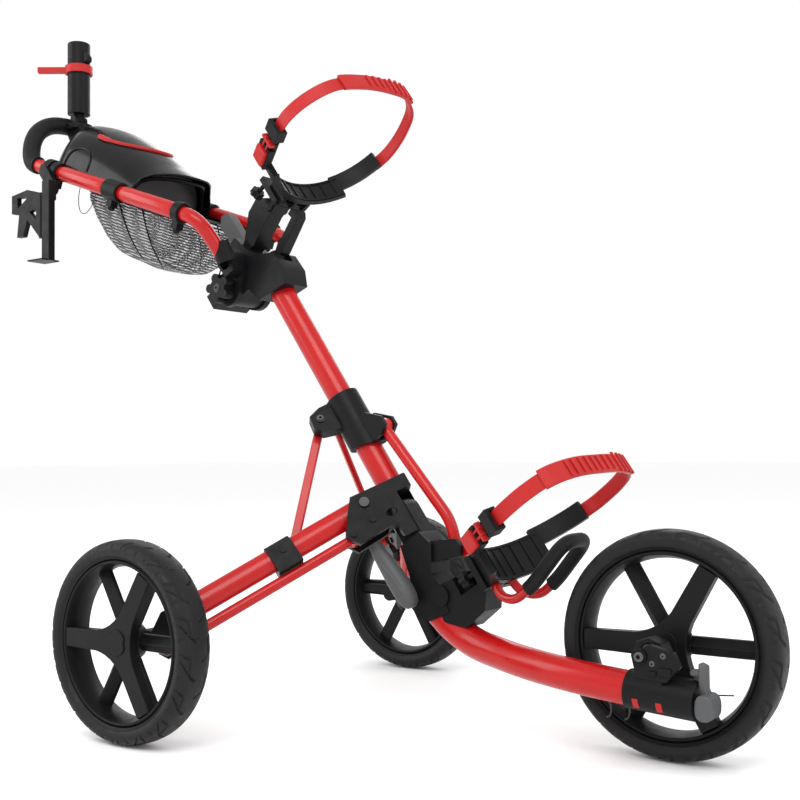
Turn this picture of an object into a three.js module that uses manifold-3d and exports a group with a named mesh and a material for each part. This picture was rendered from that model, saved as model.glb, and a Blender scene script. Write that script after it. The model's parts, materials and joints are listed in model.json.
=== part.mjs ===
// A three-wheeled golf push trolley with a folding frame, two bag cradles with strap rings, and a handle
// that carries a console, an umbrella tube, a net and a cup holder.
// Millimetres. +X points forward to the single wheel, +Y to the trolley's left, +Z up. The ground is Z = 0.
// While the trolley is built X = 0 is the rear axle; the last
// lines move the origin to the middle of its box.
import * as THREE from "three";
import { mergeVertices } from "three/addons/utils/BufferGeometryUtils.js";
import Module from "manifold-3d";

const wasm = await Module();
wasm.setup();

// ---------- driving dimensions ----------
const REAR_RADIUS = 146;
const FRONT_RADIUS = 154;
const TYRE_HALF_WIDTH = 28;
const RIM_DEPTH = 27;
const HALF_TRACK = 353;
const WHEELBASE = 677;
const WHEEL_SEGMENTS = 32;
const GAP = 0.4;

const MAST_LEAN = THREE.MathUtils.degToRad(34.4);
const MAST_BASE = new THREE.Vector3(211, 0, 363);
const MAST_HALF_DEPTH = 21.5;
const MAST_HALF_WIDTH = 19;
const MAST_TOP = 428;
const TUBE_WALL = 2;

const HINGE_Z = -50;
const LEG_SPREAD = THREE.MathUtils.degToRad(43.3);
const LEG_PIVOT = [56, -17.4];
const ROD_PIVOT = [94, -57.2];
const LEG_LENGTH = 322;
const LEG_DROP = Math.atan(0.098);
const LEG_HALF_HEIGHT = 18.5;
const LEG_HALF_WIDTH = 13;
const ROD_RADIUS = 8.3;
const STRUT_PLANE = -23.5;
const STRUT_TOP = [50, 147];
const STRUT_FOOT = [182, -25];
// How far the open pivots wander while the frame folds, in the strut's and the rod's own frame.
const STRUT_PLAY = [5.2, 1.8];
const ROD_PLAY = [11.4, -7.7];

const COLLAR_LOW = 58;
const COLLAR_HIGH = 169;
const FRONT_ROD_TOP = [43, 84];
const FRONT_ROD_FOOT = [51, -150];
const FRONT_ROD_RADIUS = 9;

const BOOM_RADIUS = 23;
const NOSE_Y = -68;
const AXLE_RADIUS = 6;

const HANDLE_PIVOT = [-70, 453];
const HANDLE_ORIGIN = new THREE.Vector3(-110, 0, 813);
const HANDLE_SLOPE = THREE.MathUtils.degToRad(20);
const HANDLE_HALF_WIDTH = 115;
const HANDLE_TUBE_RADIUS = 12.5;
const GRIP_RADIUS = 16.5;

const BAG_RADIUS = 122;
const LOWER_RING = { bag: 222, plane: -188, saddle: -208 };
const UPPER_RING = { bag: 242, plane: 530, saddle: 519 };
const LOWER_KNOB = [46, -27, -204];
const UPPER_KNOB = [68, -34, 548];

// ---------- materials ----------
const material = (color, roughness, metalness = 0) =>
  new THREE.MeshStandardMaterial({ color, roughness, metalness });
const RED_PAINT = material(0xd2201c, 0.3, 0.1);
const BLACK_PLASTIC = material(0x1c1c1e, 0.5);
const GLOSS_BLACK = material(0x17171a, 0.2);
const GREY_PLASTIC = material(0x6d6f72, 0.45);
const RED_RUBBER = material(0xd8302b, 0.55);
const TYRE_RUBBER = material(0x1e1e20, 0.75);
const FOAM = material(0x141415, 0.85);
const STEEL = material(0x9a9ca0, 0.3, 0.9);
const NET = material(0x2a2a2c, 0.9);

// ---------- solids ----------
// Turns a closed geometry into a manifold solid with its faces pointing out.
function solid(geometry) {
  const bare = geometry.index ? geometry.toNonIndexed() : geometry.clone();
  bare.deleteAttribute("normal");
  bare.deleteAttribute("uv");
  const merged = mergeVertices(bare, 1e-3);
  const triVerts = new Uint32Array(merged.index.array);
  const vertProperties = merged.attributes.position.array;
  const make = () => new wasm.Manifold(new wasm.Mesh({ numProp: 3, vertProperties, triVerts }));
  let made = make();
  if (made.volume() < 0) {
    for (let i = 0; i < triVerts.length; i += 3) {
      [triVerts[i + 1], triVerts[i + 2]] = [triVerts[i + 2], triVerts[i + 1]];
    }
    made = make();
  }
  return made;
}

function geometryOf(manifold) {
  const found = manifold.getMesh();
  const geometry = new THREE.BufferGeometry();
  geometry.setAttribute("position", new THREE.BufferAttribute(found.vertProperties, 3));
  geometry.setIndex(new THREE.BufferAttribute(found.triVerts, 1));
  geometry.computeVertexNormals();
  return geometry;
}

const join = (...solids) => solids.reduce((sum, next) => sum.add(next));
const cut = (from, ...tools) => tools.reduce((left, tool) => left.subtract(tool), from);
const hull = (...solids) => wasm.Manifold.hull(solids);

function placed(geometry, matrix) {
  return solid(geometry.clone().applyMatrix4(matrix));
}

// A box between limits along x, y and z.
function block([x0, x1], [y0, y1], [z0, z1]) {
  const geometry = new THREE.BoxGeometry(x1 - x0, y1 - y0, z1 - z0);
  return placed(geometry, new THREE.Matrix4().makeTranslation((x0 + x1) / 2, (y0 + y1) / 2, (z0 + z1) / 2));
}

// A matrix that carries local +Z onto the direction from a to b, with its origin at the middle.
function alongZ(a, b) {
  const from = new THREE.Vector3(...a);
  const to = new THREE.Vector3(...b);
  const turn = new THREE.Quaternion().setFromUnitVectors(
    new THREE.Vector3(0, 0, 1),
    to.clone().sub(from).normalize(),
  );
  const middle = from.clone().add(to).multiplyScalar(0.5);
  return new THREE.Matrix4().compose(middle, turn, new THREE.Vector3(1, 1, 1));
}

// A round bar between two points.
function bar(a, b, radius, sides = 16) {
  const length = new THREE.Vector3(...a).distanceTo(new THREE.Vector3(...b));
  const geometry = new THREE.CylinderGeometry(radius, radius, length, sides);
  geometry.rotateX(Math.PI / 2);
  return placed(geometry, alongZ(a, b));
}

const shapeOf = (points) => new THREE.Shape(points.map(([x, y]) => new THREE.Vector2(x, y)));

// An outline in the x-z plane, extruded across y.
function sidePrism(outline, y0, y1) {
  const geometry = new THREE.ExtrudeGeometry(shapeOf(outline), { depth: y1 - y0, bevelEnabled: false });
  geometry.rotateX(Math.PI / 2);
  geometry.translate(0, y1, 0);
  return solid(geometry);
}

// An outline in the x-y plane, extruded up z.
function planPrism(outline, z0, z1) {
  const geometry = new THREE.ExtrudeGeometry(shapeOf(outline), { depth: z1 - z0, bevelEnabled: false });
  geometry.translate(0, 0, z0);
  return solid(geometry);
}

function ellipse(halfX, halfY, count) {
  const step = (2 * Math.PI) / count;
  return Array.from({ length: count }, (_, i) => [halfX * Math.cos(i * step), halfY * Math.sin(i * step)]);
}

// A run of straight stretches with rounded corners, as one path.
function roundedPath(points, bend) {
  const corners = points.map((p) => new THREE.Vector3(...p));
  const path = new THREE.CurvePath();
  let at = corners[0];
  for (let i = 1; i < corners.length - 1; i += 1) {
    const before = corners[i].clone().sub(corners[i - 1]);
    const after = corners[i + 1].clone().sub(corners[i]);
    const reach = Math.min(bend, before.length() / 2.05, after.length() / 2.05);
    const enter = corners[i].clone().addScaledVector(before.normalize(), -reach);
    const leave = corners[i].clone().addScaledVector(after.normalize(), reach);
    path.add(new THREE.LineCurve3(at, enter));
    path.add(new THREE.QuadraticBezierCurve3(enter, corners[i], leave));
    at = leave;
  }
  path.add(new THREE.LineCurve3(at, corners[corners.length - 1]));
  return path;
}

// A section carried along a path. The section's x lies across a planar path's plane and its y in it.
function sweep(path, outline, steps, hole) {
  const shape = shapeOf(outline);
  if (hole) shape.holes.push(new THREE.Path(hole.map(([x, y]) => new THREE.Vector2(x, y))));
  return solid(new THREE.ExtrudeGeometry(shape, { steps, extrudePath: path, bevelEnabled: false }));
}

function pipe(path, radius, steps, { wall = 0, sides = 12 } = {}) {
  const hole = wall ? ellipse(radius - wall, radius - wall, sides).reverse() : undefined;
  return sweep(path, ellipse(radius, radius, sides), steps, hole);
}

function addMesh(parent, name, manifold, look) {
  const mesh = new THREE.Mesh(geometryOf(manifold.simplify(0.02)), look);
  mesh.name = name;
  parent.add(mesh);
  return mesh;
}

function addGroup(parent, position = [0, 0, 0], rotation = [0, 0, 0]) {
  const group = new THREE.Group();
  group.position.set(...position);
  group.rotation.set(...rotation);
  parent.add(group);
  return group;
}

// ---------- the frames that pieces are drawn in ----------
const trolley = new THREE.Group();
// Mast frame: x forward from the mast, y left, z up along the mast, from the top of the hub.
const mastFrame = addGroup(trolley, MAST_BASE.toArray(), [0, -MAST_LEAN, 0]);
// Handle frame: x forward along the handle tubes, z square to them.
const handleFrame = addGroup(trolley, HANDLE_ORIGIN.toArray(), [0, HANDLE_SLOPE, 0]);
// Leg frame, one on each side: x out along the leg's plane, z up the mast, y square to the plane.
const SIDES = { right: 1, left: -1 };
const legFrames = {};
for (const [side, mirror] of Object.entries(SIDES)) {
  const mirrored = addGroup(mastFrame);
  mirrored.scale.y = mirror;
  legFrames[side] = addGroup(mirrored, [0, 0, 0], [0, 0, -Math.PI / 2 - LEG_SPREAD]);
}
const legMatrix = (side) => {
  const mirrored = new THREE.Matrix4().makeScale(1, SIDES[side], 1);
  return mirrored.multiply(new THREE.Matrix4().makeRotationZ(-Math.PI / 2 - LEG_SPREAD));
};
const inMast = (leg, side) => {
  const m = legMatrix(side);
  return leg.transform(m.elements);
};

// ---------- mast, hub and upper bracket ----------
function mastTube() {
  const outer = ellipse(MAST_HALF_DEPTH, MAST_HALF_WIDTH, 20);
  const inner = ellipse(MAST_HALF_DEPTH - TUBE_WALL, MAST_HALF_WIDTH - TUBE_WALL, 20);
  return cut(planPrism(outer, -22, MAST_TOP), planPrism(inner, -30, MAST_TOP + 10));
}

const mastBore = (z0, z1, gap = GAP) =>
  planPrism(ellipse(MAST_HALF_DEPTH + gap, MAST_HALF_WIDTH + gap, 20), z0, z1);

const HUB_HALF_PLATE = 23;
const LEG_SLOT = 14.3;
const CASTING_SLOT = 17.6;

function hubArm() {
  const profile = [[-24, 0], [72, 0], [92, -30], [106, -56], [92, -76], [62, -72], [30, -68], [-24, -94]];
  const plate = sidePrism(profile, -HUB_HALF_PLATE, HUB_HALF_PLATE);
  const slot = block([37, 200], [-LEG_SLOT, LEG_SLOT], [-200, 50]);
  const screw = bar([56, HUB_HALF_PLATE - 4, -47], [56, HUB_HALF_PLATE + 2.5, -47], 6, 12);
  const [boltX, boltZ] = LEG_PIVOT;
  const bolt = bar([boltX, -60, boltZ], [boltX, 60, boltZ], 5 + GAP, 12);
  const [pinX, pinZ] = ROD_PIVOT;
  const rodPin = bar([pinX, -HUB_HALF_PLATE - 3, pinZ], [pinX, HUB_HALF_PLATE + 3, pinZ], 5, 12);
  return join(cut(join(plate, screw), slot, bolt), rodPin);
}

function hubBlock() {
  const arms = Object.keys(SIDES).map((side) => inMast(hubArm(), side));
  const castingSlot = block([-33, 90], [-CASTING_SLOT, CASTING_SLOT], [-200, -23]);
  const hingeHole = bar([0, -80, HINGE_Z], [0, 80, HINGE_Z], 6 + GAP, 16);
  return cut(join(...arms), mastBore(-22.5, 40), castingSlot, hingeHole);
}

function pivotBolt([x, z]) {
  const shank = bar([x, -HUB_HALF_PLATE - 2, z], [x, HUB_HALF_PLATE + 3, z], 5, 12);
  const head = bar([x, HUB_HALF_PLATE + GAP, z], [x, HUB_HALF_PLATE + 4, z], 8.5, 12);
  return join(shank, head);
}

function handleBracket() {
  const body = sidePrism(
    [
      [-40, 436], [-30, 398], [31, 385], [43, 411], [41, 446], [14, 462], [-2, 486], [-12, 524],
      [-34, 520], [-44, 470],
    ],
    -30,
    30,
  );
  const lug = join(
    bar([HANDLE_PIVOT[0], -30, HANDLE_PIVOT[1]], [HANDLE_PIVOT[0], 30, HANDLE_PIVOT[1]], 26, 20),
    block([HANDLE_PIVOT[0], -30], [-30, 30], [HANDLE_PIVOT[1] - 24, HANDLE_PIVOT[1] + 24]),
  );
  const arm = sidePrism(
    [[-24, 496], [6, 492], [62, 512], [84, 516], [84, 532], [58, 556], [30, 548]], -17, 17,
  );
  const leverSlot = block([33, 60], [-12, 12], [430, 476]);
  const pinHole = bar(
    [HANDLE_PIVOT[0], -60, HANDLE_PIVOT[1]], [HANDLE_PIVOT[0], 60, HANDLE_PIVOT[1]], 7.4, 16,
  );
  const saddlePin = bar([72, -23, 524], [72, 23, 524], 5, 12);
  const bracket = join(body, lug, arm);
  return join(cut(bracket, mastBore(300, MAST_TOP + GAP), leverSlot, pinHole), saddlePin);
}

function foldLever() {
  const blade = sidePrism(
    [[34, 446], [44, 444], [106, 470], [112, 480], [103, 493], [92, 490], [94, 480], [36, 458]], -11,
    11,
  );
  const finger = sidePrism([[36, 458], [44, 444], [60, 452], [56, 470]], -11, 11);
  return join(blade, finger);
}

// ---------- collar, struts and front rod ----------
function collarWing() {
  const plate = sidePrism(
    [[10, 168], [44, 166], [64, 158], [66, 136], [54, 124], [24, 118], [10, 112]], -17.5, 9,
  );
  const pin = bar([STRUT_TOP[0], -15, STRUT_TOP[1]], [STRUT_TOP[0], -31, STRUT_TOP[1]], 4, 12);
  const bolt = bar([STRUT_TOP[0], 8, STRUT_TOP[1]], [STRUT_TOP[0], 12, STRUT_TOP[1]], 6, 12);
  return join(plate, pin, bolt);
}

function collarSleeve() {
  const sleeve = planPrism(ellipse(30, 27, 24), COLLAR_LOW, COLLAR_HIGH);
  const foot = sidePrism([[-40, 40], [40, 40], [40, 62], [-40, 84]], -40, 40);
  const wings = Object.keys(SIDES).map((side) => inMast(collarWing(), side));
  const lug = sidePrism([[20, 118], [34, 116], [58, 92], [58, 76], [44, 68], [20, 66]], -18, 18);
  const rodGap = block([30.5, 80], [-10.3, 10.3], [40, 140]);
  const rodPin = bar(
    [FRONT_ROD_TOP[0], -18, FRONT_ROD_TOP[1]], [FRONT_ROD_TOP[0], 18, FRONT_ROD_TOP[1]], 4, 12,
  );
  const outside = join(cut(sleeve, foot), ...wings, cut(lug, rodGap), rodPin);
  return cut(outside, mastBore(0, 300, 0.6));
}

function strut() {
  const [topX, topZ] = STRUT_TOP;
  const [footX, footZ] = STRUT_FOOT;
  const eye = (x, z) => bar([x, STRUT_PLANE - 4.8, z], [x, STRUT_PLANE + 4.8, z], 11.5, 16);
  const hole = (x, z, radius) => bar([x, -60, z], [x, 0, z], radius, 16);
  const rod = bar([topX, STRUT_PLANE, topZ], [footX, STRUT_PLANE, footZ], 7.5, 12);
  const flats = block([0, 300], [STRUT_PLANE - 4.8, STRUT_PLANE + 4.8], [-100, 300]);
  const trimmed = join(rod.intersect(flats), eye(topX, topZ), eye(footX, footZ));
  const [playX, playZ] = STRUT_PLAY;
  return cut(trimmed, hole(topX, topZ, 4 + GAP), hole(footX + playX / 2, footZ + playZ / 2, 7.5));
}

function frontRod() {
  const [topX, topZ] = FRONT_ROD_TOP;
  const [footX, footZ] = FRONT_ROD_FOOT;
  const path = roundedPath([[topX, 0, topZ], [64, 0, -108], [footX, 0, footZ]], 26);
  const rod = pipe(path, FRONT_ROD_RADIUS, 10);
  const [playX, playZ] = ROD_PLAY;
  const eye = (x, z, radius, half) => bar([x, -half, z], [x, half, z], radius, 16);
  const topEye = eye(topX, topZ, 12.5, 9.5);
  const foot = hull(eye(footX, footZ, 12, 6), eye(footX + playX, footZ + playZ, 12, 6));
  const footSlot = hull(eye(footX, footZ, 5.2, 40), eye(footX + playX, footZ + playZ, 5.2, 40));
  const flats = [-1, 1].map(
    (sign) => block(
      [0, 100], [Math.min(sign * 6, sign * 30), Math.max(sign * 6, sign * 30)], [-190, -124],
    )
  );
  return cut(join(cut(rod, ...flats), topEye, foot), footSlot, eye(topX, topZ, 4 + GAP, 40));
}

// ---------- rear legs ----------
function legTube() {
  const oval = (shrink) => ellipse(LEG_HALF_HEIGHT - shrink, LEG_HALF_WIDTH - shrink, 20);
  const along = new THREE.Matrix4().makeRotationY(Math.PI / 2);
  const tubeEnd = LEG_LENGTH - 20;
  const outer = planPrism(oval(0), 10, tubeEnd).transform(along.elements);
  const inner = planPrism(oval(TUBE_WALL), 26, tubeEnd - 14).transform(along.elements);
  const knuckle = bar([0, -12.6, 0], [0, 12.6, 0], LEG_HALF_HEIGHT, 20);
  const tongue = join(
    block([tubeEnd - 10, LEG_LENGTH], [-5, 5], [-11, 11]),
    bar([LEG_LENGTH, -5, 0], [LEG_LENGTH, 5, 0], 11, 16),
  );
  const drain = bar([60, 0, -30], [60, 0, -10], 3, 8);
  const holes = [
    bar([0, -40, 0], [0, 40, 0], 5 + GAP, 12),
    bar([LEG_LENGTH, -40, 0], [LEG_LENGTH, 40, 0], 4 + GAP, 12),
  ];
  return cut(join(cut(outer, inner), knuckle, tongue), drain, ...holes);
}

function lowerRod() {
  const rod = bar([0, 0, 0], [LEG_LENGTH - 30, 0, 0], ROD_RADIUS, 14);
  const knuckle = bar([0, -ROD_RADIUS, 0], [0, ROD_RADIUS, 0], 10.5, 16);
  const tongue = join(
    block([LEG_LENGTH - 36, LEG_LENGTH], [-5, 5], [-8, 8]),
    bar([LEG_LENGTH, -5, 0], [LEG_LENGTH, 5, 0], 9, 14),
  );
  const holes = [0, LEG_LENGTH].map((x, i) => bar([x, -40, 0], [x, 40, 0], (i ? 4 : 5) + GAP, 12));
  return cut(join(rod, knuckle, tongue), ...holes);
}

function legClamp() {
  const shell = block([126, 168], [-17, 17], [-27, 21]);
  const chamfer = new THREE.Matrix4().makeTranslation(147, 17, 21).multiply(
    new THREE.Matrix4().makeRotationX(Math.PI / 4),
  );
  const edge = placed(new THREE.BoxGeometry(60, 14, 14), chamfer);
  const along = new THREE.Matrix4().makeRotationY(Math.PI / 2);
  const bore = planPrism(
    ellipse(LEG_HALF_HEIGHT + GAP, LEG_HALF_WIDTH + GAP, 20), 100, 200,
  ).transform(along.elements);
  const drop = Math.hypot(STRUT_FOOT[0] - LEG_PIVOT[0], STRUT_FOOT[1] - LEG_PIVOT[1]);
  const angle = Math.atan2(STRUT_FOOT[1] - LEG_PIVOT[1], STRUT_FOOT[0] - LEG_PIVOT[0]) + LEG_DROP;
  const pinX = drop * Math.cos(angle);
  const pinZ = drop * Math.sin(angle);
  const pin = bar([pinX, -30, pinZ], [pinX, -14, pinZ], 3.5, 12);
  const plate = block([pinX - 9, 140], [-17, -14], [-12, 16]);
  const screw = bar([145, 16, 2], [145, 19, 2], 5, 12);
  return cut(join(cut(shell, edge), plate, pin, screw), bore);
}

// The carrier joins leg, rod and axle. It is drawn in the leg frame.
const LEG_END = [
  LEG_PIVOT[0] + LEG_LENGTH * Math.cos(LEG_DROP),
  LEG_PIVOT[1] - LEG_LENGTH * Math.sin(LEG_DROP),
];
const ROD_END = [
  ROD_PIVOT[0] + LEG_LENGTH * Math.cos(LEG_DROP),
  ROD_PIVOT[1] - LEG_LENGTH * Math.sin(LEG_DROP),
];

function axleCarrier(side) {
  const [ax, az] = LEG_END;
  const [bx, bz] = ROD_END;
  const outline = [
    [ax - 9, az - 3], [ax - 5, az + 13], [ax + 26, az + 12], [bx + 12, az - 10],
    [bx + 14, bz + 2], [bx + 4, bz - 12], [bx - 12, bz - 8],
  ];
  const rooms = [
    block([ax - 60, ax + 12], [-5.5, 5.5], [az - 60, az + 40]),
    block([bx - 70, bx + 9.6], [-5.5, 5.5], [bz - 30, bz + 13]),
  ];
  const run = [100 * Math.cos(LEG_DROP), 100 * Math.sin(LEG_DROP)];
  const rodRoom = bar(
    [bx - run[0], 0, bz + run[1]], [bx - 0.28 * run[0], 0, bz + 0.28 * run[1]], ROD_RADIUS + 0.6, 16,
  );
  const hub = new THREE.Vector3(0, 0, REAR_RADIUS).sub(MAST_BASE);
  hub.applyAxisAngle(new THREE.Vector3(0, 1, 0), MAST_LEAN);
  const inner = -HALF_TRACK + TYRE_HALF_WIDTH + 4;
  const boss = bar([hub.x, inner + 36, hub.z], [hub.x, inner, hub.z], 13, 16);
  const axle = bar([hub.x, inner + 2, hub.z], [hub.x, -HALF_TRACK - 20, hub.z], AXLE_RADIUS, 14);
  const cheeks = inMast(sidePrism(outline, -13, 13), "right");
  const pins = [LEG_END, ROD_END].map(([x, z]) => inMast(bar([x, -12, z], [x, 12, z], 4, 12), "right"));
  const hollowed = cut(join(cheeks, boss), ...[...rooms, rodRoom].map((room) => inMast(room, "right")));
  const made = join(hollowed, ...pins, axle);
  return side === "right" ? made : made.transform(new THREE.Matrix4().makeScale(1, -1, 1).elements);
}

// ---------- boom ----------
const BOOM_POINTS = [
  [306, 0, 168],
  [330, -2, 149],
  [372, -10, 130],
  [422, -24, 121],
  [480, -43, 115],
  [535, -57, 111],
  [590, -65, 107],
  [645, NOSE_Y, 103],
  [736, NOSE_Y, 97],
];

function boomSweep(radius, wall) {
  const path = new THREE.CatmullRomCurve3(
    BOOM_POINTS.map((p) => new THREE.Vector3(...p)), false, "centripetal",
  );
  return pipe(path, radius, 13, { wall, sides: 16 });
}

// The casting is drawn in the mast frame and holds the fold hinge, the rod's fork and the boom's end.
function boomCasting() {
  const neck = join(
    bar([0, -17, HINGE_Z], [0, 17, HINGE_Z], 19, 20),
    sidePrism([[-19, HINGE_Z], [19, HINGE_Z], [20, -112], [-22, -112]], -17, 17),
  );
  const arm = sidePrism(
    [
      [-22, -100], [20, -100], [28, -128], [4, -164], [6, -182], [-2, -228], [-40, -222], [-58, -204],
      [-34, -150],
    ],
    -26, 26,
  );
  const boss = bar([-2, -29, -200], [-2, 29, -200], 16, 20);
  const fork = cut(
    sidePrism([[8, -112], [44, -130], [66, -142], [68, -156], [58, -168], [40, -160], [12, -150]], -20, 20),
    block([-40, 120], [-10.5, 10.5], [-179, -100]),
  );
  const forkPin = bar(
    [FRONT_ROD_FOOT[0], -20, FRONT_ROD_FOOT[1]], [FRONT_ROD_FOOT[0], 20, FRONT_ROD_FOOT[1]], 4, 12,
  );
  const base = sidePrism(
    [[-6, -184], [34, -190], [73, -196], [73, -232], [52, -258], [10, -262], [-20, -236]], -24, 24,
  );
  const rodRoom = block([25, 120], [-10.5, 10.5], [-183, -90]);
  const outside = join(cut(join(neck, arm, boss, base), rodRoom), fork, forkPin);
  const hingeHole = bar([0, -60, HINGE_Z], [0, 60, HINGE_Z], 6 + GAP, 16);
  return cut(outside, hingeHole);
}

function noseSleeve() {
  const start = [646, NOSE_Y, 103];
  const end = [740, NOSE_Y, 96.8];
  const sleeve = bar(start, end, 26, 24);
  const bore = bar([600, NOSE_Y, 106], [737, NOSE_Y, 97], BOOM_RADIUS + 0.6, 24);
  const plate = sidePrism(
    [[650, 124], [700, 121], [706, 136], [696, 146], [664, 150], [650, 142]], -92, -78,
  );
  const boss = bar([659, -96, 137], [659, -78, 137], 9, 14);
  const seat = block([656, 700], [-90, -52], [112, 128]);
  return cut(join(sleeve, plate, boss, seat), bore);
}

function axleBracket() {
  const plate = sidePrism(
    [[656, 130.5], [700, 129], [704, 146], [694, 166], [676, 172], [660, 166], [652, 148]], -77, -50,
  );
  const nose = bar([WHEELBASE, -52, FRONT_RADIUS], [WHEELBASE, -34, FRONT_RADIUS], 14, 18);
  const hole = bar([WHEELBASE, -100, FRONT_RADIUS], [WHEELBASE, 0, FRONT_RADIUS], AXLE_RADIUS + GAP, 14);
  const recess = bar([WHEELBASE, -100, FRONT_RADIUS], [WHEELBASE, -73, FRONT_RADIUS], 10.6, 14);
  return cut(join(plate, nose), hole, recess);
}

function frontAxle() {
  const shank = bar([WHEELBASE, -76, FRONT_RADIUS], [WHEELBASE, 24, FRONT_RADIUS], AXLE_RADIUS, 14);
  const head = bar([WHEELBASE, -77, FRONT_RADIUS], [WHEELBASE, -73.4, FRONT_RADIUS], 10, 14);
  return join(shank, head);
}

function noseLever() {
  const pad = sidePrism([[742, 124], [748, 126], [756, 74], [750, 70], [742, 76]], -84, -46);
  const neck = sidePrism([[728, 128], [750, 124], [748, 132], [730, 136]], -74, -56);
  return join(pad, neck);
}

function latchLever() {
  const outline = [
    [-61, -84], [-54, -76], [-36, -78], [-30, -88], [-28, -180], [-36, -192], [-50, -194], [-56, -184],
  ];
  const body = sidePrism(outline, -58, -31);
  const recess = sidePrism([[-50, -92], [-40, -92], [-37, -170], [-46, -170]], -70, -53);
  const hole = bar([-42, -80, -180], [-42, 0, -180], 5 + GAP, 12);
  return cut(body, recess, hole);
}

const latchPin = () => bar([-42, -56, -180], [-42, -24, -180], 5, 12);

// ---------- bag cradles ----------
// A saddle plate curved round the bag, drawn in the mast frame.
function saddle(ring, height, reach, knob) {
  const [reachDown, reachUp] = reach;
  const sweepAngle = THREE.MathUtils.degToRad(46);
  const padAngle = THREE.MathUtils.degToRad(82);
  const arc = (radius, from, to, count) =>
    Array.from({ length: count + 1 }, (_, i) => {
      const angle = from + ((to - from) * i) / count;
      return [ring.bag - radius * Math.cos(angle), radius * Math.sin(angle)];
    });
  const plateOutline = [
    ...arc(BAG_RADIUS, -sweepAngle, sweepAngle, 13),
    ...arc(BAG_RADIUS + 9, sweepAngle, -sweepAngle, 13),
  ];
  const plate = planPrism(plateOutline, ring.saddle - height / 2, ring.saddle + height / 2);
  const padOutline = [
    ...arc(BAG_RADIUS + 2, sweepAngle - 0.1, padAngle, 6),
    ...arc(BAG_RADIUS + 11, padAngle, sweepAngle - 0.1, 6),
  ];
  const pad = planPrism(padOutline, ring.plane - 15, ring.plane + 15);
  const ribs = [-30, 0, 30].map((y) => {
    const front = ring.bag - BAG_RADIUS - 2;
    return block(
      [front - 22, front - 4], [y - 4, y + 4], [ring.saddle - height / 2, ring.saddle + height / 2],
    );
  });
  const spine = block(
    [ring.bag - BAG_RADIUS - 26, ring.bag - BAG_RADIUS - 16], [-40, 40],
    [ring.saddle - reachDown, ring.saddle + reachUp],
  );
  const [knobX, knobY, knobZ] = knob;
  const knobHole = bar([knobX, knobY, knobZ], [ring.bag - BAG_RADIUS - 12, knobY, knobZ], 4.5, 10);
  return cut(join(plate, pad, ...ribs, spine), knobHole);
}

const SADDLE_PIN = [72, 524];

// The ears that hang the upper saddle on the bracket's pin.
function saddleEars() {
  const [x, z] = SADDLE_PIN;
  return [-22.5, 17.5].map((y) => {
    const ear = join(bar([x, y, z], [x, y + 5, z], 9, 16), block([x, x + 24], [y, y + 5], [z - 7, z + 7]));
    return cut(ear, bar([x, -30, z], [x, 30, z], 5 + GAP, 12));
  });
}

// A closed strap ring: from the buckle round the front of the bag to the far pad.
function strapPath(ring, points) {
  const places = points.map(([x, y]) => new THREE.Vector3(x, y, ring.plane));
  return new THREE.CatmullRomCurve3(places, false, "centripetal");
}

const band = (halfAcross, halfThick) => [
  [-halfAcross, -halfThick],
  [halfAcross, -halfThick],
  [halfAcross, halfThick],
  [-halfAcross, halfThick],
];

function strapRing(ring, points, tabFrom, tabTo) {
  const path = strapPath(ring, points);
  const tab = new THREE.CatmullRomCurve3(path.getPoints(60).slice(tabFrom, tabTo), false, "centripetal");
  return join(sweep(path, band(11.5, 2.2), 28), sweep(tab, band(13.5, 5), 14));
}

// The buckle is a box along the strap between two points of the ring's plane.
function buckleParts(ring, from, to, strapRoom) {
  const middle = [(from[0] + to[0]) / 2, (from[1] + to[1]) / 2];
  const length = Math.hypot(to[0] - from[0], to[1] - from[1]);
  const turn = Math.atan2(to[1] - from[1], to[0] - from[0]);
  const frame = new THREE.Matrix4().makeTranslation(middle[0], middle[1], ring.plane).multiply(
    new THREE.Matrix4().makeRotationZ(turn),
  );
  const outward = -1;
  const body = join(
    block([-length / 2, length / 2], [-5, 5], [-12, 12]),
    block([-length / 2, -length / 2 + 40], [outward * 9 - 3, 0], [-16, 16]),
    block([length / 2 - 22, length / 2], [-10, 8], [-17, 17]),
  );
  const strapHole = block([length / 2 - 30, length / 2 + 20], [-3, 3], [-13, 13]);
  const well = block([-length / 2 + 4, -length / 2 + 34], [outward * 20, outward * 4.5], [-14, 14]);
  const button = block([-length / 2 + 5, -length / 2 + 33], [outward * 14.5, outward * 8.4], [-13, 13]);
  return {
    buckle: cut(cut(body, strapHole, well).transform(frame.elements), strapRoom),
    button: button.transform(frame.elements),
  };
}

// A lobed hand knob on a shaft, with its axis along x.
function handKnob([x, y, z], shaftLength, radius = 12) {
  const lobes = Array.from({ length: 6 }, (_, i) => {
    const angle = (i * Math.PI) / 3;
    return bar(
      [x, y + (radius - 3) * Math.cos(angle), z + (radius - 3) * Math.sin(angle)],
      [x + 12, y + (radius - 3) * Math.cos(angle), z + (radius - 3) * Math.sin(angle)],
      4,
      10,
    );
  });
  return join(
    bar([x, y, z], [x + 12, y, z], radius - 2, 12), ...lobes,
    bar([x + 6, y, z], [x + 12 + shaftLength, y, z], 4, 10),
  );
}

const U_BAR_HALF = 36;

function uBarPath() {
  const side = (sign) => [
    [90, sign * 18, -214],
    [91, sign * 30, -256],
    [112, sign * U_BAR_HALF, -274],
    [150, sign * U_BAR_HALF, -270],
    [226, sign * U_BAR_HALF, -247],
  ];
  return roundedPath([...side(-1), ...side(1).reverse()], 26);
}

function uBar() {
  return pipe(uBarPath(), 7, 34, { sides: 8 });
}

// The U-bar's own shape made a little thicker, to cut the places that it passes through.
function uBarRoom() {
  return pipe(uBarPath(), 7.5, 34, { sides: 8 });
}

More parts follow.
